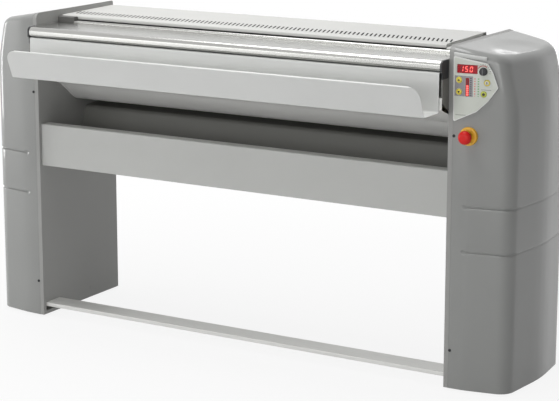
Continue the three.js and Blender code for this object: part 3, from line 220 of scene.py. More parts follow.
def powderPaint(name, colour, roughness):
    finish = Finish(name, colour, roughness)
    clouds = mottled(finish, colour, 0.015, 220)
    peel = finish.noise(1.6, 3)
    specks = finish.cells(0.6)
    finish.set("Roughness", clouds * 0.1 + specks * 0.08 + (roughness - 0.08))
    finish.bump(peel * 0.8 + specks * 0.2, 0.06, 0.6)
    return finish


hoodTop = dict(front=139.4, z=1005.5, rise=0.01424, slots=(30, 102))


# Hood paint whose slot walls, below the sheet's top face, are painted near-black: painted shade in the slots.
def slottedSheet(name, colour, roughness):
    finish = powderPaint(name, colour, roughness)
    x, y, z = finish.axes()
    fromFront = (y - at(0, hoodTop["front"], 0).y) / mm
    depth = fromFront * hoodTop["rise"] + hoodTop["z"] - z / mm
    # Painted shade: the slot walls take a near-black colour.
    slotShade = finish.soft(depth, 0.03, 0.1) * (fromFront > hoodTop["slots"][0]) * (fromFront < hoodTop["slots"][1])
    clean = Value(finish, finish.shader.inputs["Base Color"].links[0].from_socket)
    finish.set("Base Color", finish.blend(slotShade, clean, rgb((34, 34, 34))))
    return finish


noseShade = dict(low=958, high=962.5, front=-40, rear=-28)  # the table's underside at its nose, darkened there as painted shade


# Drawn steel streaks; with a share set, also a painted reflection darker towards the table's middle and painted shade
# under its nose.
def drawnSteel(name, colour, roughness, stretch, depth=0.03, streaksAndShade=0.0, metallic=1.0):
    finish = Finish(name, colour, roughness, Metallic=metallic)
    lines = finish.noise(0.35, 2, stretch)
    streaks = finish.noise(4, 3, stretch)
    smears = finish.noise(90, 3, (0.08, 1, 1) if streaksAndShade else (1, 1, 1))
    tone = streaks * 0.7 + smears * 0.3
    if streaksAndShade:
        x, y, z = finish.axes()
        # Painted reflection: the tone drops towards the middle of the table's length.
        middle = (x * 2.4).combine("COSINE", 0)
        tone = tone - middle * streaksAndShade
    dark, bright = rgb(shaded(colour, 0.92)), rgb(shaded(colour, 1.04))
    shade = finish.blend(tone, dark, bright)
    if streaksAndShade:
        # Painted shade: the nose's underside is darkened.
        front, rear = at(0, noseShade["front"], 0).y, at(0, noseShade["rear"], 0).y
        under = 1 - finish.soft(z, noseShade["low"] * mm, noseShade["high"] * mm)
        nose = under * (1 - finish.soft(y, front, rear))
        shade = finish.blend(nose, shade, rgb(shaded(colour, 0.88)))
    finish.set("Base Color", shade)
    finish.set("Roughness", lines * 0.1 + smears * (0.05 if streaksAndShade else 0.12) + (roughness - 0.1))
    finish.bump(lines * 0.6 + streaks * 0.4, depth, 0.4)
    return finish


def platedSteel(name, colour, roughness):
    finish = Finish(name, colour, roughness, Metallic=1.0)
    spangle = finish.cells(3.5, "Color")
    bright = finish.node("ShaderNodeRGBToBW", {}, {"Color": spangle})
    finish.tint(bright, colour, 0.86, 1.06)
    finish.set("Roughness", bright * 0.16 + (roughness - 0.08))
    finish.bump(finish.noise(0.8, 3), 0.03, 0.4)
    return finish


def grained(name, colour, roughness, clouds, noise, share, relief, **fixed):
    finish = Finish(name, colour, roughness, **fixed)
    mottled(finish, colour, *clouds)
    grain = finish.noise(*noise)
    finish.set("Roughness", grain * share + (roughness - share / 2))
    finish.bump(grain, *relief)
    return finish


def hardPlastic(name, colour, roughness, grainSize=0.4, **fixed):
    return grained(name, colour, roughness, (0.03, 12), (grainSize, 3), 0.12, (0.03, 0.4), **fixed)


def wovenCotton(name, colour):
    finish = Finish(name, colour, 0.92, Sheen_Weight=0.25)
    warp = finish.noise(0.9, 1, (0.12, 1, 1))
    weft = finish.noise(0.9, 1, (1, 0.15, 0.15))
    soil = finish.noise(40, 3, (0.3, 1, 1))
    scorch = finish.soft(soil, 0.5, 0.85, 0.0, 0.5)
    finish.tint(scorch, colour, 1, 0.86)
    finish.set("Roughness", warp * 0.1 + 0.86)
    finish.bump(warp * 0.5 + weft * 0.5, 0.35, 0.7)
    return finish


def feltedFibre(name, colour, size):
    finish = Finish(name, colour, 0.97)
    fibres = finish.noise(size, 6, (1, 0.4, 0.4))
    finish.tint(fibres, colour, 0.88, 1.15)
    finish.set("Roughness", fibres * 0.06 + 0.93)
    finish.bump(fibres, 0.8, 0.8)
    return finish


def circuitBoard(name, colour):
    finish = Finish(name, colour, 0.5)
    x, y, z = finish.axes()
    depth = (x / mm - innerWall).combine("ABSOLUTE", 0)
    raised = finish.soft(depth, 7, 8)
    traces = finish.cells(9)
    copper = finish.soft(traces, 0.42, 0.46)
    lacquer = finish.blend(copper, rgb(colour), rgb(shaded(colour, 1.35)))
    blockTone = finish.noise(30, 0)
    casing = finish.blend(finish.soft(blockTone, 0.45, 0.5), rgb((38, 40, 44)), rgb((190, 190, 182)))
    finish.set("Base Color", finish.blend(raised, lacquer, casing))
    finish.bump(copper, 0.04, 0.5)
    return finish


def glowing(name, colour, strength):
    finish = Finish(name, colour, 0.3, Emission_Strength=strength)
    shimmer = finish.noise(6, 2)
    finish.set("Emission Color", finish.blend(shimmer, rgb(shaded(colour, 0.93)), rgb(shaded(colour, 1.0))))
    return finish


# The plate's print: fields, scales and bars as (u, z, u, z), and the ticks round the knob.
printFields = [
    dict(place=(19.9, 881.8, 75.4, 940.3), colour=(150, 148, 152)),
    dict(place=(66, 884, 71.5, 938), colour=(86, 84, 88), pitch=6),
    dict(place=(78.5, 884, 83, 938), colour=(226, 138, 134), pitch=7.2),
    dict(place=(89, 884, 93.5, 938), colour=(120, 176, 120), pitch=7.2),
    dict(place=(99, 903, 128, 904.4), colour=(120, 120, 120)),
    dict(place=(24, 826, 84, 829), colour=(176, 180, 172)),
]
knobScale = dict(centre=(104, 956), arc=(15.2, 17.4), ticks=(18.6, 21.2), red=(176, 40, 40), grey=(70, 70, 72))


def printedLabel(name, colour):
    finish = Finish(name, colour, 0.42)
    x, y, z = finish.axes()
    u, height = x / mm - innerWall, z / mm
    tone = finish.blend(finish.noise(70, 3), rgb(shaded(colour, 0.98)), rgb(shaded(colour, 1.02)))

    def inside(u0, z0, u1, z1):
        return (u > u0) * (u < u1) * (height > z0) * (height < z1)

    def striped(pitch):
        return ((height / pitch).combine("FRACT", 0)) > 0.5

    for field in printFields:
        share = inside(*field["place"])
        if "pitch" in field:
            share = share * striped(field["pitch"])
        tone = finish.blend(share, tone, rgb(field["colour"]))
    awayU, awayZ = u - knobScale["centre"][0], height - knobScale["centre"][1]
    away = (awayU * awayU + awayZ * awayZ) ** 0.5
    near, far = knobScale["arc"]
    arc = (away > near) * (away < far) * (awayZ > awayU * 0.85 + 3)
    tone = finish.blend(arc * (awayZ > 7), tone, rgb(knobScale["red"]))
    near, far = knobScale["ticks"]
    rays = ((awayU.combine("ARCTAN2", awayZ) * 3.2).combine("FRACT", 0)) > 0.72
    tone = finish.blend((away > near) * (away < far) * (awayZ > -6) * rays, tone, rgb(knobScale["grey"]))
    finish.set("Base Color", tone)
    grain = finish.noise(0.8, 3)
    finish.set("Roughness", grain * 0.1 + 0.36)
    finish.bump(grain, 0.02, 0.4)
    return finish


paints = dict(
    side_frame_paint=((157, 157, 155), 0.5),
    panel_paint=((194, 195, 192), 0.46),
    # The belly's paint is a lighter copy of the panel paint; the extra lightness paints light falling on the belly.
    belly_lit_paint=((236, 236, 233), 0.38),
    tray_paint=((217, 218, 216), 0.42),
    hood_paint=((203, 203, 200), 0.5),
    chute_paint=((118, 118, 114), 0.52),
    bracket_paint=((122, 122, 119), 0.55),
    switch_block_paint=((96, 96, 94), 0.5),
)
coverPlastic = mouldedPlastic("cover_moulding", (147, 148, 146), 0.36)
painted = [powderPaint(name, *look) for name, look in paints.items()]
framePaint, panelPaint, bellyLitPaint, trayPaint, hoodPaint, chutePaint, bracketPaint, blockPaint = painted
slottedPaint = slottedSheet("slotted_hood_paint", *paints["hood_paint"])
tableSteel = drawnSteel("feed_table_steel", (182, 182, 179), 0.26, (0.004, 1, 1), 0.008, 0.25)
barSteel = drawnSteel("foot_bar_steel", (218, 218, 215), 0.58, (0.02, 1, 1), 0.05, metallic=0.4)
tubeSteel = drawnSteel("roller_tube_steel", (176, 176, 174), 0.4, (1, 0.02, 0.02))
zinc = platedSteel("zinc_plate", (176, 179, 182), 0.32)
blackZinc = platedSteel("black_zinc_plate", (62, 62, 64), 0.45)
alloy = grained("cast_alloy", (166, 168, 170), 0.46, (0.08, 6), (1.1, 5), 0.2, (0.25, 0.6), Metallic=0.85)
blackPlastic = hardPlastic("black_plastic", (30, 31, 34), 0.46)
rubber = hardPlastic("foot_rubber", (38, 38, 38), 0.75, 0.8)
redPlastic = hardPlastic("red_plastic", (214, 18, 12), 0.36, Specular_IOR_Level=0.35)
yellowPlastic = hardPlastic("yellow_plastic", (232, 214, 84), 0.4)
collarPlastic = hardPlastic("collar_plastic", (236, 178, 54), 0.42)
stopGreen = hardPlastic("stop_button_plastic", (196, 204, 84), 0.4)
edgePlastic = hardPlastic("plate_edge_plastic", (232, 233, 230), 0.4)
browHighlightPlastic = hardPlastic("brow_strip_painted_highlight", (206, 207, 205), 0.4)
markPlastic = hardPlastic("button_mark", (58, 52, 40), 0.5)
knobPaint = hardPlastic("knob_pointer_paint", (104, 104, 106), 0.45)
baffleShadePaint = hardPlastic("baffle_shade_paint", (30, 30, 31), 0.6)
lensPlastic = hardPlastic("window_lens", (168, 10, 30), 0.24, Specular_IOR_Level=0.35)
litRed = glowing("lit_segments", (255, 96, 90), 1.6)
unlitRed = hardPlastic("unlit_segments", (112, 10, 28), 0.4)
labelPrint = printedLabel("plate_print", (213, 217, 208))
clothFinish = wovenCotton("roller_cloth", (235, 230, 214))
feltFinish = feltedFibre("roller_felt", (188, 182, 164), 2.5)
woolFinish = feltedFibre("insulation_wool", (206, 198, 172), 4)
boardFinish = circuitBoard("circuit_board", (44, 104, 70))
print("finishes made")


# Mesh helpers
def shadeByAngle(piece, sharp=35):
    mesh = bmesh.new()
    mesh.from_mesh(piece.data)
    limit = math.radians(sharp)
    for face in mesh.faces:
        face.smooth = True
    for edge in mesh.edges:
        edge.smooth = edge.calc_face_angle(math.pi) < limit
    mesh.to_mesh(piece.data)
    mesh.free()


def linked(name, mesh):
    data = bpy.data.meshes.new(name)
    bmesh.ops.recalc_face_normals(mesh, faces=mesh.faces)
    mesh.to_mesh(data)
    mesh.free()
    piece = bpy.data.objects.new(name, data)
    scene.collection.objects.link(piece)
    return piece


def addPiece(name, mesh, body, finish, replaced=(), sharp=35):
    piece = linked(name, mesh)
    piece.data.materials.append(finish.material)
    shadeByAngle(piece, sharp)
    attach(piece, body)
    if replaced:
        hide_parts(*replaced)
    return piece


def thicken(piece, thickness, offset=-1.0):
    wall = piece.modifiers.new("wall", "SOLIDIFY")
    wall.thickness = thickness * mm
    wall.offset = offset
    wall.use_even_offset = True


def soften(piece, width, segments=2):
    edge = piece.modifiers.new("soft_edges", "BEVEL")
    edge.width = width * mm
    edge.segments = segments
    edge.limit_method = "ANGLE"
    edge.angle_limit = math.radians(40)
    even = piece.modifiers.new("even_shading", "WEIGHTED_NORMAL")
    even.keep_sharp = True


def carve(piece, cutter):
    tool = linked("cutter", cutter)
    step = piece.modifiers.new("cut", "BOOLEAN")
    step.operation = "DIFFERENCE"
    step.solver = "EXACT"
    step.object = tool
    bpy.context.view_layer.update()
    graph = bpy.context.evaluated_depsgraph_get()
    data = bpy.data.meshes.new_from_object(piece.evaluated_get(graph), depsgraph=graph)
    piece.modifiers.clear()
    piece.data = data
    spent = tool.data
    bpy.data.objects.remove(tool)
    bpy.data.meshes.remove(spent)
    shadeByAngle(piece)


def bendAt(before, corner, after, radius, step):
    incoming, outgoing = before - corner, after - corner
    turn = math.pi - incoming.angle(outgoing)
    reach = min(radius * math.tan(turn / 2), incoming.length * 0.48, outgoing.length * 0.48)
    bend = reach / math.tan(turn / 2)
    middle = (incoming.normalized() + outgoing.normalized()).normalized()
    centre = corner + middle * math.hypot(bend, reach)
    start = corner + incoming.normalized() * reach - centre
    end = corner + outgoing.normalized() * reach - centre
    sweep = math.atan2(start.x * end.y - start.y * end.x, start.dot(end))
    count = max(2, math.ceil(abs(math.degrees(sweep)) / step))
    return [centre + Matrix.Rotation(sweep * part / count, 2) @ start for part in range(count + 1)]


def roundedLine(corners, closed=True, step=6.0):
    points = []
    for index, (a, b, *rest) in enumerate(corners):
        corner = Vector((a, b))
        last = not closed and index in (0, len(corners) - 1)
        if last or not rest or rest[0] == 0:
            points.append(corner)
            continue
        before = Vector(corners[index - 1][:2])
        after = Vector(corners[(index + 1) % len(corners)][:2])
        points += bendAt(before, corner, after, rest[0], step)
    return points


def spaced(points, longest):
    result = []
    for index, point in enumerate(points):
        following = points[(index + 1) % len(points)]
        count = max(1, math.ceil((following - point).length / longest))
        result += [point.lerp(following, part / count) for part in range(count)]
    return result


def easing(value, low, high):
    share = min(1.0, max(0.0, (value - low) / (high - low)))
    return share * share * (3 - 2 * share)


def ringOf(mesh, points):
    verts = [mesh.verts.new(point) for point in points]
    return [mesh.edges.new((vert, verts[(index + 1) % len(verts)])) for index, vert in enumerate(verts)]


def bridged(mesh, rings, capped=False):
    for lower, upper in zip(rings, rings[1:]):
        bmesh.ops.bridge_loops(mesh, edges=lower + upper)
    if capped:
        for ring in (rings[0], rings[-1]):
            bmesh.ops.contextual_create(mesh, geom=ring)


# A closed turned body: profile holds (radius, distance along the axis).
def spun(profile, centre, axis, steps=48, mesh=None):
    own = bmesh.new()
    along = Vector(axis).normalized()
    across = along.orthogonal().normalized()
    verts = [own.verts.new(centre + (along * distance + across * radius) * mm) for radius, distance in profile]
    edges = [own.edges.new(pair) for pair in zip(verts, verts[1:])]
    bmesh.ops.spin(
        own, geom=verts + edges, cent=centre, axis=along, angle=math.tau, steps=steps, use_merge=True,
    )
    bmesh.ops.remove_doubles(own, verts=own.verts, dist=1e-6)
    return own if mesh is None else poured(own, mesh)


def poured(source, target):
    carrier = bpy.data.meshes.new("carrier")
    source.to_mesh(carrier)
    source.free()
    target.from_mesh(carrier)
    bpy.data.meshes.remove(carrier)
    return target


def wholeTurn(steps):
    return [math.tau * part / steps for part in range(steps)]


def vertsOf(grown):
    return [item for item in grown["geom"] if isinstance(item, bmesh.types.BMVert)]


def prism(points, shift, mesh=None):
    own = bmesh.new()
    ring = ringOf(own, points)
    face = bmesh.ops.contextual_create(own, geom=ring)["faces"]
    moved = vertsOf(bmesh.ops.extrude_face_region(own, geom=face, use_keep_orig=True))
    bmesh.ops.translate(own, verts=moved, vec=shift)
    return own if mesh is None else poured(own, mesh)


# A folded sheet: path holds (y, z, bend radius) along the sheet's middle.
def bentSheet(name, path, x0, x1, thickness, body, finish, replaced=(), slotName=None, edge=0.4):
    mesh = bmesh.new()
    line = roundedLine(path, False)
    verts = [mesh.verts.new(at(x0, y, z)) for y, z in line]
    edges = [mesh.edges.new(pair) for pair in zip(verts, verts[1:])]
    moved = vertsOf(bmesh.ops.extrude_edge_only(mesh, edges=edges))
    bmesh.ops.translate(mesh, verts=moved, vec=((x1 - x0) * mm, 0, 0))
    piece = addPiece(name, mesh, body, finish, replaced)
    thicken(piece, thickness, 0.0)
    if edge:
        soften(piece, edge)
    return piece


# The moulded cabinet covers
moulding = dict(
    flatFront=60, frontSetback=24, frontBow=300, outerLean=22, frontCorner=48, sideBow=500, widest=225,
    rearLean=19, rearCorner=64, frontFall=0.165, rearFall=0.225, leanStart=852, sideLean=1.7,
    leanRadius=311, shoulderIn=37, shoulderRadius=52, frontEdge=20, rearEdge=8, wall=4.5,
    seam=14.3, dishDepth=3.0, dishPlace=(118, 205), dishReach=(78, 150), overrun=20, waist=700,
    leanReach=120, sideCurve=2000, roofShares=(0.04, 0.1, 0.18, 0.28, 0.4, 0.52, 0.64, 0.76, 0.88),
)
grooves = dict(
    heights=(559, 425), start=45, fade=9, depth=4.6, sideShare=0.35, endPlace=55, endSpread=9, endWidening=0.9,
    ends=range(44, 66, 3), gap=(42, 67), sideEase=(45, 80), cornerU=(180, 192), cornerY=(40, 60),
)
grooveProfile = (  # (height, share of the depth)
    (-6.5, 0), (-4.8, 0.05), (-3.2, 0.35), (-1.0, 0.95), (0.9, 1), (2.0, 0.75), (3.2, 0.06), (4.6, 0),
)
boreRadius = dict(screw=2.75, stop=11.35, gland=12.35, spigot=30.35, button=9, knob=4)
plateShift = 4.3  # the control plate's face in front of the cover
controls = dict(
    slabStep=7,  # between the cuts that let a flat shape follow the bow
    display=(26.5, 948, 87, 973), level=(53, 882, 63.5, 935), knob=(104, 956), stop=(64.5, 767),
    buttons={"up": (33.5, 928), "down": (33.5, 894), "start": (115, 924), "stop": (106, 891)},
    plate=((15.2, 996), (116, 979), (131, 955), (147, 911), (119, 871), (86, 839), (17, 806)),
)
coverScrews = dict(u=18.6, heights=(764, 124))
gland = dict(u=108, z=120)
spigot = dict(u=75, z=340)


def frontOf(u):
    flat, bow = moulding["flatFront"], moulding["frontBow"]
    slope = math.atan2(moulding["frontSetback"], coverSize["width"] - moulding["outerLean"] - flat)
    reach = bow * math.tan(slope / 2)
    if u <= flat - reach:
        return 0.0, 0.0
    if u >= flat + reach * math.cos(slope):
        return (u - flat) * math.tan(slope), slope
    along = u - flat + reach
    return bow - math.sqrt(bow ** 2 - along ** 2), math.asin(along / bow)


def onPanel(u, z, out):
    y, tilt = frontOf(u)
    return at(innerWall + u + math.sin(tilt) * out, y - math.cos(tilt) * out, z)


def panelAxis(u):
    tilt = frontOf(u)[1]
    return Vector((math.sin(tilt), -math.cos(tilt), 0))


# A flat shape on the right cabinet's front, low to high in front of it, following its bow.
def panelSlab(outline, low, high, mesh=None):
    own, step = bmesh.new(), controls["slabStep"]
    ring = ringOf(own, [(u, 0, z) for u, z in outline])
    bmesh.ops.contextual_create(own, geom=ring)
    first, last = min(u for u, z in outline), max(u for u, z in outline)
    place = math.floor(first / step) * step + step
    while place < last - 0.5:
        geometry = own.verts[:] + own.edges[:] + own.faces[:]
        bmesh.ops.bisect_plane(own, geom=geometry, plane_co=(place, 0, 0), plane_no=(1, 0, 0))
        place += step
    raised = set(vertsOf(bmesh.ops.extrude_face_region(own, geom=own.faces[:], use_keep_orig=True)))
    for vert in own.verts:
        vert.co = onPanel(vert.co.x, vert.co.z, high if vert in raised else low)
    return own if mesh is None else poured(own, mesh)


def rectangle(u0, z0, u1, z1, grow=0, corner=0):
    corners = [(u0 - grow, z0 - grow), (u1 + grow, z0 - grow), (u1 + grow, z1 + grow), (u0 - grow, z1 + grow)]
    return roundedLine([(*place, corner) for place in corners], True, 15)


def bore(radius, centre, axis, steps, mesh, reach=20):
    return spun([(0, -reach), (radius, -reach), (radius, reach), (0, reach)], centre, axis, steps, mesh)


# The windows and holes for the controls, as one cutter.
def panelBores(room=0.35):
    mesh = bmesh.new()
    for name in ("display", "level"):
        panelSlab(rectangle(*controls[name], room), -20, 20, mesh)
    for u, z in controls["buttons"].values():
        bore(boreRadius["button"] + room, onPanel(u, z, 0), panelAxis(u), 32, mesh)
    u, z = controls["knob"]
    return bore(boreRadius["knob"] + room, onPanel(u, z, 0), panelAxis(u), 24, mesh)


def planOfCover():
    width, depth = coverSize["width"], coverSize["depth"]
    corners = [
        (-moulding["overrun"], 0),
        (moulding["flatFront"], 0, moulding["frontBow"]),
        (width - moulding["outerLean"], moulding["frontSetback"], moulding["frontCorner"]),
        (width, moulding["widest"], moulding["sideBow"]),
        (width - moulding["rearLean"], depth, moulding["rearCorner"]),
        (-moulding["overrun"], depth),
    ]
    plan = spaced(roundedLine(corners, True, 4), 14)
    ends = [Vector((u, frontOf(u)[0])) for u in grooves["ends"]]
    first, last = grooves["gap"]
    kept = [point for point in plan if not (first < point.x < last and point.y < 20)]
    place = next(index for index, point in enumerate(kept) if point.x >= last)
    return kept[:place] + ends + kept[place:]


def roofHeight(u, y):
    fall = moulding["frontFall"] + (moulding["rearFall"] - moulding["frontFall"]) * y / coverSize["depth"]
    return coverSize["top"] - fall * u


def dish(u, y):
    (centreU, centreY), (reachU, reachY) = moulding["dishPlace"], moulding["dishReach"]
    away = math.hypot((u - centreU) / reachU, (y - centreY) / reachY)
    return moulding["dishDepth"] * (1 - easing(away, 0.35, 1.0))


def shoulderProfile():
    width, top, fall = coverSize["width"], coverSize["top"], moulding["rearFall"]
    corners = [
        (-moulding["overrun"], 0),
        (width, 0),
        (width, moulding["leanStart"] - moulding["leanReach"], moulding["sideCurve"]),
        (width - moulding["sideLean"], moulding["leanStart"], moulding["leanRadius"]),
        (width - moulding["shoulderIn"], top - fall * (width - moulding["shoulderIn"]), moulding["shoulderRadius"]),
        (-moulding["overrun"], top + fall * moulding["overrun"]),
    ]
    rim = roundedLine(corners, True, 5)[2:-1]
    return [(point.x, top - fall * point.x - point.y) for point in rim]  # (u, drop below the roof)


def edgeSetback(drop, radius):
    if drop >= radius:
        return 0.0
    return radius - math.sqrt(radius ** 2 - (radius - max(drop, 0)) ** 2)


def coverRing(plan, outerU, drop):
    flat, middle = moulding["flatFront"], coverSize["depth"] / 2
    draw = (outerU - flat) / (coverSize["width"] - flat)
    front = 1 - edgeSetback(drop, moulding["frontEdge"]) / middle
    rear = 1 - edgeSetback(drop, moulding["rearEdge"]) / middle
    ring = []
    for point in plan:
        u = point.x if point.x < flat else flat + (point.x - flat) * draw
        y = middle + (point.y - middle) * (front if point.y < middle else rear)
        ring.append(Vector((u, y, roofHeight(u, y) - drop - (dish(u, y) if drop < 1 else 0))))
    return ring


def grooveRings(plan, height):
    rings = []
    first, spread = grooves["endPlace"], grooves["endSpread"]
    for offset, share in grooveProfile:
        ring = []
        for index, point in enumerate(plan):
            along = plan[(index + 1) % len(plan)] - plan[index - 1]
            inward = Vector((-along.y, along.x)).normalized()
            weight = easing(point.x, grooves["start"], grooves["start"] + grooves["fade"])
            weight *= 1 - (1 - grooves["sideShare"]) * easing(point.y, *grooves["sideEase"])
            corner = easing(point.x, *grooves["cornerU"]) * (1 - easing(point.y, *grooves["cornerY"]))
            swelling = max(0.0, 1 - abs(point.x - first) / spread) if point.y < grooves["cornerY"][1] else 0.0
            wider = 1 + grooves["endWidening"] * max(swelling, corner * 0.6)
            moved = point + inward * (share * grooves["depth"] * weight)
            ring.append(Vector((moved.x, moved.y, height + offset * wider)))
        rings.append(ring)
    return rings


def coverLevels():
    plan = planOfCover()
    levels = [[Vector((point.x, point.y, coverSize["bottom"])) for point in plan]]
    for height in sorted(grooves["heights"]):
        levels += grooveRings(plan, height)
    levels.append([Vector((point.x, point.y, moulding["waist"])) for point in plan])
    levels += [coverRing(plan, outerU, max(drop, 0.0)) for outerU, drop in shoulderProfile()]
    rim, pole = levels[-1], Vector((-moulding["overrun"], coverSize["depth"] / 2))
    for share in moulding["roofShares"]:
        inner = [Vector((point.x, point.y)).lerp(pole, share) for point in rim]
        levels.append([Vector((u, y, roofHeight(u, y) - dish(u, y))) for u, y in inner])
    return levels


def coverBores(side):
    mesh = panelBores() if side > 0 else bmesh.new()
    for z in coverScrews["heights"]:
        spot = at(side * (innerWall + coverScrews["u"]), 0, z)
        bore(boreRadius["screw"], spot, (0, -1, 0), 16, mesh)
    rear = coverSize["depth"]
    if side < 0:
        spot = at(-innerWall - spigot["u"], rear, spigot["z"])
        return bore(boreRadius["spigot"], spot, (0, 1, 0), 48, mesh, 30)
    u, z = controls["stop"]
    bore(boreRadius["stop"], at(innerWall + u, 0, z), (0, -1, 0), 32, mesh)
    spot = at(innerWall + gland["u"], rear, gland["z"])
    return bore(boreRadius["gland"], spot, (0, 1, 0), 32, mesh, 30)


def coverSkin(side):
    mesh = bmesh.new()
    rings = [ringOf(mesh, [at(side * (innerWall + u), y, z) for u, y, z in level]) for level in coverLevels()]
    bridged(mesh, rings)
    bmesh.ops.contextual_create(mesh, geom=rings[-1])
    geometry = mesh.verts[:] + mesh.edges[:] + mesh.faces[:]
    seam = at(side * (innerWall + moulding["seam"]), 0, 0)
    bmesh.ops.bisect_plane(mesh, geom=geometry, plane_co=seam, plane_no=(side, 0, 0), clear_inner=True)
    name = sides[side]
    piece = addPiece(f"{name}_cover_skin", mesh, "frame", coverPlastic, [f"{name}_cabinet_cover"])
    thicken(piece, moulding["wall"])
    carve(piece, coverBores(side))


for side in sides:
    coverSkin(side)
print("covers made")


# The control panel
brow = dict(first=15.5, last=112, height=1002, fall=0.10, proud=3.2, tall=5.6, sunk=0.4, under=3, steps=18)
digits = {"1": "bc", "5": "afgcd", "0": "abcdef"}
display = dict(reading="150", height=15.5, width=8.5, stroke=1.9, pitch=14, first=36, base=952.6)
levelBar = dict(cells=8, lit=5)
knob = dict(
    levels=((11.6, 4.9), (11.6, 6.4), (10.8, 7.2), (10.5, 14.2), (9.9, 15.6), (8.6, 16.3)),  # (radius, out)
    facets=96, flutes=16, fluteDepth=0.55, fluted=(7, 16),
    pointer=((-1.1, -8.6), (1.1, -8.6), (1.6, 0), (1.1, 8.6), (-1.1, 8.6), (-1.6, 0)), pointerOut=15.8,
)


# A ridge moulded above the control plate; its pale colour is a painted highlight, the light band that runs along it.
def makeBrow():
    mesh = bmesh.new()
    rings = []
    for index in range(brow["steps"] + 1):
        u = brow["first"] + (brow["last"] - brow["first"]) * index / brow["steps"]
        height = brow["height"] - brow["fall"] * u
        setback = edgeSetback(roofHeight(u, 0) - height - brow["under"], moulding["frontEdge"])
        centre = onPanel(u, height, -setback - brow["sunk"])
        out, up = panelAxis(u) * mm, Vector((0, 0, mm))
        ring = [centre + out * math.cos(a) * brow["proud"] + up * math.sin(a) * brow["tall"] for a in wholeTurn(16)]
        rings.append(ringOf(mesh, ring))
    bridged(mesh, rings, True)
    addPiece("panel_brow", mesh, "frame", browHighlightPlastic, sharp=60)


plateFace = dict(corner=4, middle=(81, 903), labelShare=0.955)


def makePlate():
    outline = roundedLine([(*place, plateFace["corner"]) for place in controls["plate"]], True, 15)
    plate = addPiece(
        "control_plate_face", panelSlab(outline, 0.3, plateShift), "frame", edgePlastic,
        ["control_plate"],
    )
    carve(plate, panelBores())
    soften(plate, 0.7, 3)
    middle = Vector(plateFace["middle"])
    shrunk = [middle + (point - middle) * plateFace["labelShare"] for point in outline]
    label = addPiece(
        "control_label", panelSlab(shrunk, plateShift - 0.1, plateShift + 0.3), "frame", labelPrint,
    )
    carve(label, panelBores(0.9))


def makeDisplay():
    lens = bmesh.new()
    for name in ("display", "level"):
        panelSlab(rectangle(*controls[name], -0.3), -6, plateShift - 0.8, lens)
    addPiece("display_lens", lens, "frame", lensPlastic, ["display_module"])
    carrier = panelSlab(rectangle(24.5, 944, 91, 977), -7.9, -5.6)
    panelSlab(rectangle(49, 878, 67.5, 942), -7.9, -5.6, carrier)
    addPiece("display_carrier", carrier, "frame", boardFinish)
    lit, dark = bmesh.new(), bmesh.new()
    face = plateShift - 0.8
    for index, figure in enumerate(display["reading"]):
        left, low = display["first"] + index * display["pitch"], display["base"]
        for name, bar in segmentBars(left, low).items():
            panelSlab(bar, face - 0.1, face + 0.2, lit if name in digits[figure] else dark)
    u0, z0, u1, z1 = controls["level"]
    step = (z1 - z0 - 4) / levelBar["cells"]
    for index in range(levelBar["cells"]):
        low = z0 + 2 + index * step
        cell = rectangle(u0 + 2.2, low + 0.8, u1 - 2.2, low + step - 0.8)
        panelSlab(cell, face - 0.1, face + 0.2, lit if index < levelBar["lit"] else dark)
    addPiece("display_lit", lit, "frame", litRed)
    addPiece("display_unlit", dark, "frame", unlitRed)


def segmentBars(left, low):
    width, height, stroke = display["width"], display["height"], display["stroke"]
    half, lean = height / 2, 0.1
    gap = stroke * 0.6

    def bar(u0, z0, u1, z1):
        return [(u + lean * (z - low), z) for u, z in ((u0, z0), (u1, z0), (u1, z1), (u0, z1))]

    right, middle, top = left + width, low + half, low + height
    return {
        "a": bar(left + gap, top - stroke, right - gap, top),
        "b": bar(right - stroke, middle + gap, right, top - gap),
        "c": bar(right - stroke, low + gap, right, middle - gap),
        "d": bar(left + gap, low, right - gap, low + stroke),
        "e": bar(left, low + gap, left + stroke, middle - gap),
        "f": bar(left, middle + gap, left + stroke, top - gap),
        "g": bar(left + gap, middle - stroke / 2, right - gap, middle + stroke / 2),
    }


def circle(u, z, radius):
    return [(u + radius * math.cos(a), z + radius * math.sin(a)) for a in wholeTurn(20)]


def makeButtons():
    face = plateShift + 2.5
    profile = [
        (0, face + 0.1), (4.5, face), (7.0, face - 0.25), (8.3, face - 0.9), (8.85, face - 1.7), (9, face - 2.6),
        (9, -5.1), (10.8, -5.1), (10.8, -7.1), (0, -7.1),
    ]
    for name, (u, z) in controls["buttons"].items():
        body = f"{name}_button"
        finish = stopGreen if name == "stop" else yellowPlastic
        mesh = spun(profile, onPanel(u, z, 0), panelAxis(u), 40)
        addPiece(f"{body}_cap", mesh, body, finish, [body], 50)
        low, high = face - 0.3, face + 0.35
        if name in ("up", "down"):
            way = 1 if name == "up" else -1
            arrow = [(u - 4, z - way * 2.6), (u + 4, z - way * 2.6), (u, z + way * 4)][::way]
            addPiece(f"{name}_mark", panelSlab(arrow, low, high), body, markPlastic)
        elif name == "start":
            spot = panelSlab(circle(u, z, 5.2), low, high)
            addPiece("start_spot", spot, body, edgePlastic)
            bar = panelSlab(rectangle(u - 1.1, z - 3.6, u + 1.1, z + 3.6), low, high + 0.3)
            addPiece("start_mark", bar, body, markPlastic)
        else:
            mark = panelSlab(circle(u, z, 4.2), low, high)
            addPiece("stop_mark", mark, body, markPlastic)


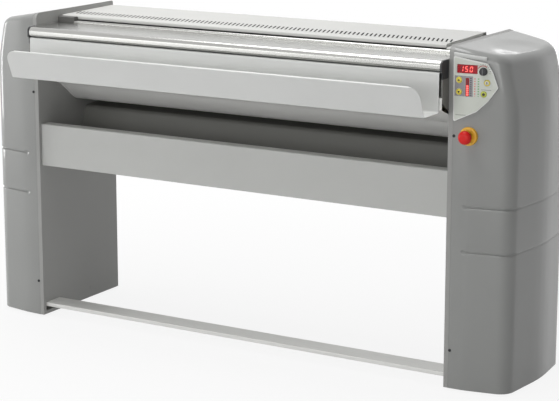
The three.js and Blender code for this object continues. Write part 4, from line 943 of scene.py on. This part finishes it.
def makeKnob():
    u, z = controls["knob"]
    centre, axis = onPanel(u, z, 0), panelAxis(u)
    side = Vector((axis.y, -axis.x, 0)) * -1
    up = Vector((0, 0, 1))
    mesh = bmesh.new()
    rings = []
    first, last = knob["fluted"]
    for radius, out in knob["levels"]:
        ring = []
        for turn in wholeTurn(knob["facets"]):
            flute = knob["fluteDepth"] * max(0.0, math.cos(turn * knob["flutes"])) if first < out < last else 0
            reach = radius - flute
            ring.append(centre + (axis * out + side * math.cos(turn) * reach + up * math.sin(turn) * reach) * mm)
        rings.append(ringOf(mesh, ring))
    bridged(mesh, rings, True)
    spun([(0, -16.5), (4, -16.5), (4, 5), (0, 5)], centre, axis, 24, mesh)
    addPiece("mode_knob_grip", mesh, "mode_knob", blackPlastic, ["mode_knob"], 50)
    foot = [centre + (axis * knob["pointerOut"] + side * a + up * b) * mm for a, b in knob["pointer"]]
    pointer = addPiece("knob_pointer", prism(foot, axis * 2.5 * mm), "mode_knob", knobPaint)
    soften(pointer, 0.5)


def makeStop():
    u, z = controls["stop"]
    centre, axis = at(innerWall + u, 0, z), (0, -1, 0)
    collar = spun(
        [(11.4, -6), (11.4, 4.6), (12.2, 5), (24.6, 5), (26.3, 4.3), (27, 2.8), (27, -6), (11.4, -6)], centre, axis, 56,
    )
    for vert in collar.verts:
        if vert.co.y > centre.y + 2 * mm:
            vert.co.y = onPanel(vert.co.x / mm - innerWall, z, 0.3).y
    addPiece("stop_collar_ring", collar, "frame", collarPlastic, ["stop_collar"])
    stem = [(0, 28), (5.6, 28), (6, 27.5), (6, 20), (10.4, 20), (11, 19.4), (11, -34), (0, -34)]
    addPiece("stop_stem_turned", spun(stem, centre, axis), "stop_stem", blackPlastic, ["stop_stem"])
    cap = [
        (0, 36.9), (3, 37.2), (9, 37.3), (13.5, 36.2), (17, 33.8), (19.2, 30.4), (20, 27), (20, 24.5), (19.2, 22),
        (17.4, 20.4), (6.4, 20.3), (6.4, 28.6), (0, 28.6),
    ]
    addPiece("stop_cap_dome", spun(cap, centre, axis, 56), "stop_cap", redPlastic, ["stop_cap"], 45)


makeBrow()
makePlate()
makeDisplay()
makeButtons()
makeKnob()
makeStop()
print("control panel made")


# Feed table and tray
table = dict(front=-47, rear=114, top=984, nose=31, radius=14, under=7, sheet=2.5, half=733, flange=968)
bracketCap = dict(low=930, xs=(733.15, 739.85))
baffle = dict(front=153.6, low=974, top=992.5, rear=330, xs=(-738, 660.8))
tray = dict(top=950.9, floor=832.7, depth=93, lip=923.7, lean=34, rim=5, sheet=2, half=731, corner=34)


def makeTable():
    half, low = table["sheet"] / 2, table["top"] - table["nose"]
    bentSheet("feed_table_sheet", [
        (table["front"] + 20, low + half),
        (table["front"] + half, low + half, table["under"]),
        (table["front"] + half, table["top"] - half, table["radius"]),
        (table["rear"] - half, table["top"] - half, 3),
        (table["rear"] - half, table["flange"]),
    ], -table["half"], table["half"], table["sheet"], "frame", tableSteel, ["feed_table"], "polished_steel")


def makeTray():
    half, front, end = tray["sheet"] / 2, table["front"] - tray["depth"], tray["half"]
    piece = bentSheet("feed_tray_sheet", [
        (table["front"] + 22, tray["top"] - half),
        (table["front"] + half, tray["top"] - half, 5),
        (table["front"] + half, tray["floor"] + half, 6),
        (front + half, tray["floor"] + half, 8),
        (front - tray["lean"] + half, tray["lip"] - half, 2),
        (front - tray["lean"] + tray["rim"], tray["lip"] + 1),
    ], -end, end, tray["sheet"], "frame", trayPaint, ["feed_tray"], "panel_paint", edge=0)
    corners = bmesh.new()
    for side in (-1, 1):
        radius = tray["corner"]
        outline = [(side * (end + 5), tray["lip"] - radius)]
        outline += [(side * (end + 5), tray["lip"] + 10), (side * (end - radius), tray["lip"] + 10)]
        for part in range(13):
            turn = math.pi / 2 * (1 - part / 12)
            x = end - radius + radius * math.cos(turn)
            outline.append((side * x, tray["lip"] - radius + radius * math.sin(turn)))
        low = front - tray["lean"] - 20
        prism([at(x, low, z) for x, z in outline], Vector((0, (front - low) * mm, 0)), corners)
    carve(piece, corners)
    soften(piece, 0.4)


def makeBracketCaps():
    for side, sideName in sides.items():
        outline = roundedLine([
            (table["front"] + 1.6, 952), (table["front"] + 6.4, 945), (table["front"] + 6.4, bracketCap["low"]),
            (table["front"] + 44, bracketCap["low"], 4), (table["front"] + 44, 984.6, 4),
            (table["front"] - 0.6, 984.6, 14), (table["front"] - 0.6, 952),
        ])
        near, far = bracketCap["xs"]
        foot = [at(side * near, y, z) for y, z in outline]
        mesh = prism(foot, Vector((side * (far - near) * mm, 0, 0)))
        cap = addPiece(f"{sideName}_bracket_cap", mesh, "frame", blackPlastic)
        soften(cap, 0.6)


hoodStep = dict(x=661.2, thick=1.3, outline=((141, 995.6), (402, 999.4), (402, 1007.4), (141, 1004.0)))


# A baffle sheet under the hood's slots, as fume hoods have; its near-black colour paints the shade seen through the
# slots.
def makeBaffle():
    bentSheet("vent_baffle_shade", [
        (baffle["front"], baffle["low"]), (baffle["front"], baffle["top"], 3), (baffle["rear"], baffle["top"] + 7),
    ], *baffle["xs"], 1, "frame", baffleShadePaint, slotName="black_plastic", edge=0)
    foot = [at(hoodStep["x"], y, z) for y, z in hoodStep["outline"]]
    closure = prism(foot, Vector((hoodStep["thick"] * mm, 0, 0)))
    step = addPiece("hood_step", closure, "frame", hoodPaint)
    soften(step, 0.3)


makeTable()
makeTray()
makeBracketCaps()
makeBaffle()
print("feed table and tray made")


# The roller's cloth and padding, and the chest's insulation
roller = dict(y=285, z=865, inner=122.2, cloth=1.25, overlap=62, padInner=110.3, padOuter=121.7)
clothForm = dict(start=200, around=168, along=40, gap=0.12, hem=0.12, lift=1.06)
insulation = dict(inner=141.4, outer=147.6, rear=62, front=172, quilt=2.6, edge=0.45, columns=96, rows=28)


def spanOf(name, room=0.0):
    low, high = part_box(name)
    return low.x / mm + room, high.x / mm - room


def aroundRoller(x, angle, radius):
    return at(x, roller["y"] + radius * math.cos(angle), roller["z"] + radius * math.sin(angle))


# Rings that run out along a wall's outer face and back along its inner one, closed at both ends.
def closedWall(mesh, rings):
    bridged(mesh, rings)
    for ring in (rings[0], rings[-1]):
        verts = [edge.verts[0] for edge in ring]
        half = len(verts) // 2
        for part in range(half - 1):
            mesh.faces.new((verts[part], verts[part + 1], verts[-part - 2], verts[-part - 1]))


def makeCloth():
    x0, x1 = spanOf("roller_cloth")
    lap = roller["overlap"] / roller["inner"]
    start, whole = math.radians(clothForm["start"]), math.tau + lap
    steps, count = clothForm["around"], clothForm["along"]

    def reach(turn, x):
        raised = roller["cloth"] * clothForm["lift"] * easing(turn, math.tau - 0.06, math.tau + 0.01)
        hem = clothForm["hem"] * math.sin(x * 0.021) * math.sin(turn * 3.0)
        hem *= (1 - easing(turn, math.tau - 0.5, math.tau)) * easing(turn, lap, lap + 0.5)
        return roller["inner"] + clothForm["gap"] + raised + hem

    mesh = bmesh.new()
    rings = []
    for index in range(count + 1):
        x = x0 + (x1 - x0) * index / count
        turns = [whole * part / steps for part in range(steps + 1)]
        outer = [aroundRoller(x, start + turn, reach(turn, x) + roller["cloth"]) for turn in turns]
        inner = [aroundRoller(x, start + turn, reach(turn, x)) for turn in reversed(turns)]
        rings.append(ringOf(mesh, outer + inner))
    closedWall(mesh, rings)
    cloth = addPiece("roller_cloth_sheet", mesh, "roller", clothFinish, ["roller_cloth"], 50)
    length = (roller["inner"] + roller["cloth"] / 2) * whole * mm
    return cloth, ((x1 - x0) * mm, length)


def makePadding():
    x0, x1 = spanOf("roller_padding")
    inner, outer = roller["padInner"], roller["padOuter"]
    profile = [
        (inner, x0), (outer - 3, x0), (outer - 0.8, x0 + 0.8), (outer, x0 + 3),
        (outer, (x0 + x1) / 2), (outer, x1 - 3), (outer - 0.8, x1 - 0.8), (outer - 3, x1), (inner, x1), (inner, x0),
    ]
    centre = at(0, roller["y"], roller["z"])
    mesh = spun(profile, centre, (1, 0, 0), 96)
    for vert in mesh.verts:
        across = Vector((0, vert.co.y - centre.y, vert.co.z - centre.z))
        if across.length > (inner + 3) * mm:
            turn = math.atan2(across.z, across.y)
            vert.co -= across.normalized() * 0.35 * mm * (1 + math.sin(turn * 11 + vert.co.x * 40))
    return addPiece("roller_padding_felt", mesh, "roller", feltFinish, ["roller_padding"], 60)


def makeInsulation():
    x0, x1 = spanOf("chest_insulation")
    mesh = bmesh.new()
    rings = []
    columns, rows = insulation["columns"], insulation["rows"]
    for column in range(columns + 1):
        x = x0 + (x1 - x0) * column / columns
        edge = min(column, columns - column)
        outer, inner = [], []
        for row in range(rows + 1):
            angle = -math.radians(insulation["rear"] + (insulation["front"] - insulation["rear"]) * row / rows)
            puff = abs(math.sin(math.pi * column / 8) * math.sin(math.pi * row / 7)) ** 0.5
            ends = insulation["edge"] if edge == 0 or row in (0, rows) else 1.0
            high = insulation["outer"] - insulation["quilt"] * (1 - puff * ends)
            outer.append(aroundRoller(x, angle, high))
            inner.append(aroundRoller(x, angle, insulation["inner"]))
        rings.append(ringOf(mesh, outer + inner[::-1]))
    closedWall(mesh, rings)
    return addPiece("chest_insulation_blanket", mesh, "chest", woolFinish, ["chest_insulation"], 60)


cloth, clothFlat = makeCloth()
padding = makePadding()
blanket = makeInsulation()
print("soft pieces made")


# Screws, feet and the cable gland
crossArm = dict(reach=2.3, half=0.42, rise=6)
feet = dict(x=848, ys={"front": 62, "rear": 363}, threads=44)
backScrews = dict(xs=(-715, -430, -145, 145, 430, 715), zs=(540, 990))


def crossRecess(centre, axis, mesh):
    along = Vector(axis)
    across = along.orthogonal().normalized()
    other = along.cross(across)
    reach, half = crossArm["reach"] * mm, crossArm["half"] * mm
    outline = []
    for long, short in ((across, other), (other, -across), (-across, -other), (-other, across)):
        outline += [long * reach - short * half, long * reach + short * half, long * half + short * half]
    return prism([centre + corner for corner in outline], along * crossArm["rise"] * mm, mesh)


def makeCoverScrews():
    for side, sideName in sides.items():
        for z, level in zip(coverScrews["heights"], ("upper", "lower")):
            node = f"{sideName}_{level}_cover_screw"
            spot, axis = at(side * (innerWall + coverScrews["u"]), -0.3, z), (0, -1, 0)
            mesh = spun([
                (0, -12), (2.3, -12), (2.3, 0), (4.4, 0), (4.4, 0.8), (4.0, 1.7), (3.0, 2.3), (0, 2.4),
            ], spot, axis, 32)
            head = addPiece(f"{node}_head", mesh, "frame", blackZinc, [node])
            recess = crossRecess(spot + Vector(axis) * 1.1 * mm, axis, bmesh.new())
            carve(head, recess)


def makeBackScrews():
    heads, recesses = bmesh.new(), bmesh.new()
    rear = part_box("back_panel")[1].y
    profile = [(0, -0.4), (4.5, -0.4), (4.5, 0.77), (4.05, 1.65), (2.475, 2.2), (0, 2.2)]
    for x in backScrews["xs"]:
        for z in backScrews["zs"]:
            spot = Vector((x * mm, rear, z * mm))
            spun(profile, spot, (0, 1, 0), 24, heads)
            crossRecess(spot + Vector((0, 0.9 * mm, 0)), (0, 1, 0), recesses)
    piece = addPiece("back_panel_screws", heads, "frame", zinc)
    carve(piece, recesses)


def makeFeet():
    for side, sideName in sides.items():
        for name, y in feet["ys"].items():
            node = f"{sideName}_{name}_foot"
            centre = at(side * feet["x"], y, 0)
            pad = [(0, 0), (22.6, 0), (24, 1.2), (24, 3.6), (22.8, 5), (10, 5.2), (9, 6.2), (9, 9), (0, 9)]
            addPiece(f"{node}_pad", spun(pad, centre, (0, 0, 1)), node, rubber, [node])
            stud = [(0, 8), (5.6, 8)]
            stud += [(6 if step % 2 else 5.45, 9 + step * 0.75) for step in range(feet["threads"])] + [(0, 42)]
            addPiece(f"{node}_stud", spun(stud, centre, (0, 0, 1), 32), node, zinc, sharp=20)


def makeGland():
    centre, axis = at(innerWall + gland["u"], coverSize["depth"], gland["z"]), (0, 1, 0)
    mesh = spun([
        (6, -14), (12, -14), (12, 0.3), (12, 7), (11.6, 9), (10.6, 11.4), (8.6, 13.6), (6.6, 14), (6, 13.2), (6, -14),
    ], centre, axis, 40)
    flange = [centre + Vector((16 * math.cos(a), 0.4, 16 * math.sin(a))) * mm for a in wholeTurn(6)]
    nut = prism(flange, Vector((0, 6.4 * mm, 0)))
    addPiece("cable_gland_body", mesh, "frame", blackPlastic, ["cable_gland"])
    piece = addPiece("cable_gland_nut", nut, "frame", blackPlastic)
    carve(piece, spun([(0, -3), (11.9, -3), (11.9, 10), (0, 10)], centre, axis, 40))
    soften(piece, 0.6)


makeCoverScrews()
makeBackScrews()
makeFeet()
makeGland()
print("small pieces made")


# Carried-over CAD nodes: finish, softened edges and even shading
dressing = {
    framePaint: ["left_side_frame", "right_side_frame", "left_pedal_arm", "right_pedal_arm"],
    panelPaint: ["front_crossbeam", "back_panel"],
    bellyLitPaint: ["belly_shell"],
    slottedPaint: ["vent_hood"],
    hoodPaint: ["hood_end_plate"],
    chutePaint: ["return_chute"],
    blockPaint: ["guard_switch_block"],
    tableSteel: ["infeed_guard"],
    barSteel: ["pedal_bar"],
    tubeSteel: ["roller_tube"],
    zinc: [
        "left_roller_end", "right_roller_end", "roller_sprocket", "motor_sprocket", "drive_chain", "chest_shaft",
        "chest_lever", "actuator_rod", "heater_1", "heater_2",
    ],
    alloy: [
        "left_roller_bearing", "right_roller_bearing", "gearmotor", "heated_chest", "fan_housing", "fan_rotor",
    ],
    bracketPaint: ["left_table_bracket", "right_table_bracket"],
    blackPlastic: ["chest_actuator"],
    boardFinish: ["control_board"],
}
edgeWidth = {"vent_hood": 0.2, "infeed_guard": 0.8, "pedal_bar": 0.5}


def dressNode(name, finish):
    node = nodes[name]
    node.data.materials.clear()
    node.data.materials.append(finish.material)
    for face in node.data.polygons:
        face.use_smooth = True
    weld = node.modifiers.new("weld", "WELD")
    weld.merge_threshold = 0.02 * mm
    soften(node, edgeWidth.get(name, 0.6))


for finish, names in dressing.items():
    for name in names:
        if not nodes[name].hide_render:
            dressNode(name, finish)
print("nodes dressed")


# Studio
studio = dict(
    ambient=0.12,
    floor=(225, 225, 225),
    whiteShare=0.88,
    lamps=[
        ("frontLow", (0.6, -4.2, 1.25), (0, 0, 0.5), (4.0, 1.2), 46),
        ("top", (-0.5, -0.3, 3.6), (0, 0, 0.9), (3.6, 1.3), 96),
        ("leftFront", (-2.4, -3.6, 1.0), (0, 0, 0.5), (1.6, 1.2), 14),
        ("leftStrip", (-3.9, -0.8, 0.68), (-0.9, -0.3, 0.6), (0.9, 1.3), 38),
        ("rearHigh", (-0.75, 4.2, 1.86), (0.8, 0, 1.0), (0.4, 0.15), 0.45),
        ("rightRear", (3.8, 2.0, 1.2), (0.9, 0, 0.6), (1.4, 1.4), 3),
        ("rear", (-0.4, 4.2, 0.75), (0, 0, 0.5), (3.6, 1.2), 34),
    ],
)


def makeFloor():
    mesh = bmesh.new()
    bmesh.ops.create_circle(mesh, cap_ends=True, segments=96, radius=40)
    floor = linked("floor", mesh)
    floor.location.z = -0.0005
    finish = Finish("floor_paper", studio["floor"], 0.9)
    white = finish.node("ShaderNodeEmission", {}, {"Color": (1, 1, 1, 1), "Strength": 1.0})
    source = finish.node("ShaderNodeTexCoord", output="Object")
    away = finish.node("ShaderNodeVectorMath", {"operation": "LENGTH"}, {"Vector": source}, "Value")
    share = finish.seen() * finish.soft(away, 0.6, 2.4, studio["whiteShare"], 1.0)
    surface = finish.node("ShaderNodeMixShader", {}, {0: share, 1: Value(finish, finish.shader.outputs[0]), 2: white})
    finish.plug(finish.tree.nodes["Material Output"].inputs["Surface"], surface)
    floor.data.materials.append(finish.material)


def makeWorld():
    world = bpy.data.worlds.new("studio")
    scene.world = world
    world.use_nodes = True
    graph = Graph(world.node_tree)
    graph.tree.nodes.clear()
    white = (1, 1, 1, 1)
    ambient = graph.node("ShaderNodeBackground", {}, {"Color": white, "Strength": studio["ambient"]})
    backdrop = graph.node("ShaderNodeBackground", {}, {"Color": white})
    mixed = graph.node("ShaderNodeMixShader", {}, {0: graph.seen(), 1: ambient, 2: backdrop})
    graph.node("ShaderNodeOutputWorld", {}, {"Surface": mixed})


def softLight(name, place, target, size, power):
    data = bpy.data.lights.new(name, "AREA")
    data.shape = "RECTANGLE"
    data.size, data.size_y = size
    data.energy = power
    lamp = bpy.data.objects.new(name, data)
    lamp.location = place
    lamp.rotation_euler = (Vector(target) - Vector(place)).to_track_quat("-Z", "Y").to_euler()
    scene.collection.objects.link(lamp)


makeFloor()
makeWorld()
for lamp in studio["lamps"]:
    softLight(*lamp)
scene.view_settings.view_transform = "Standard"
print("studio lit")
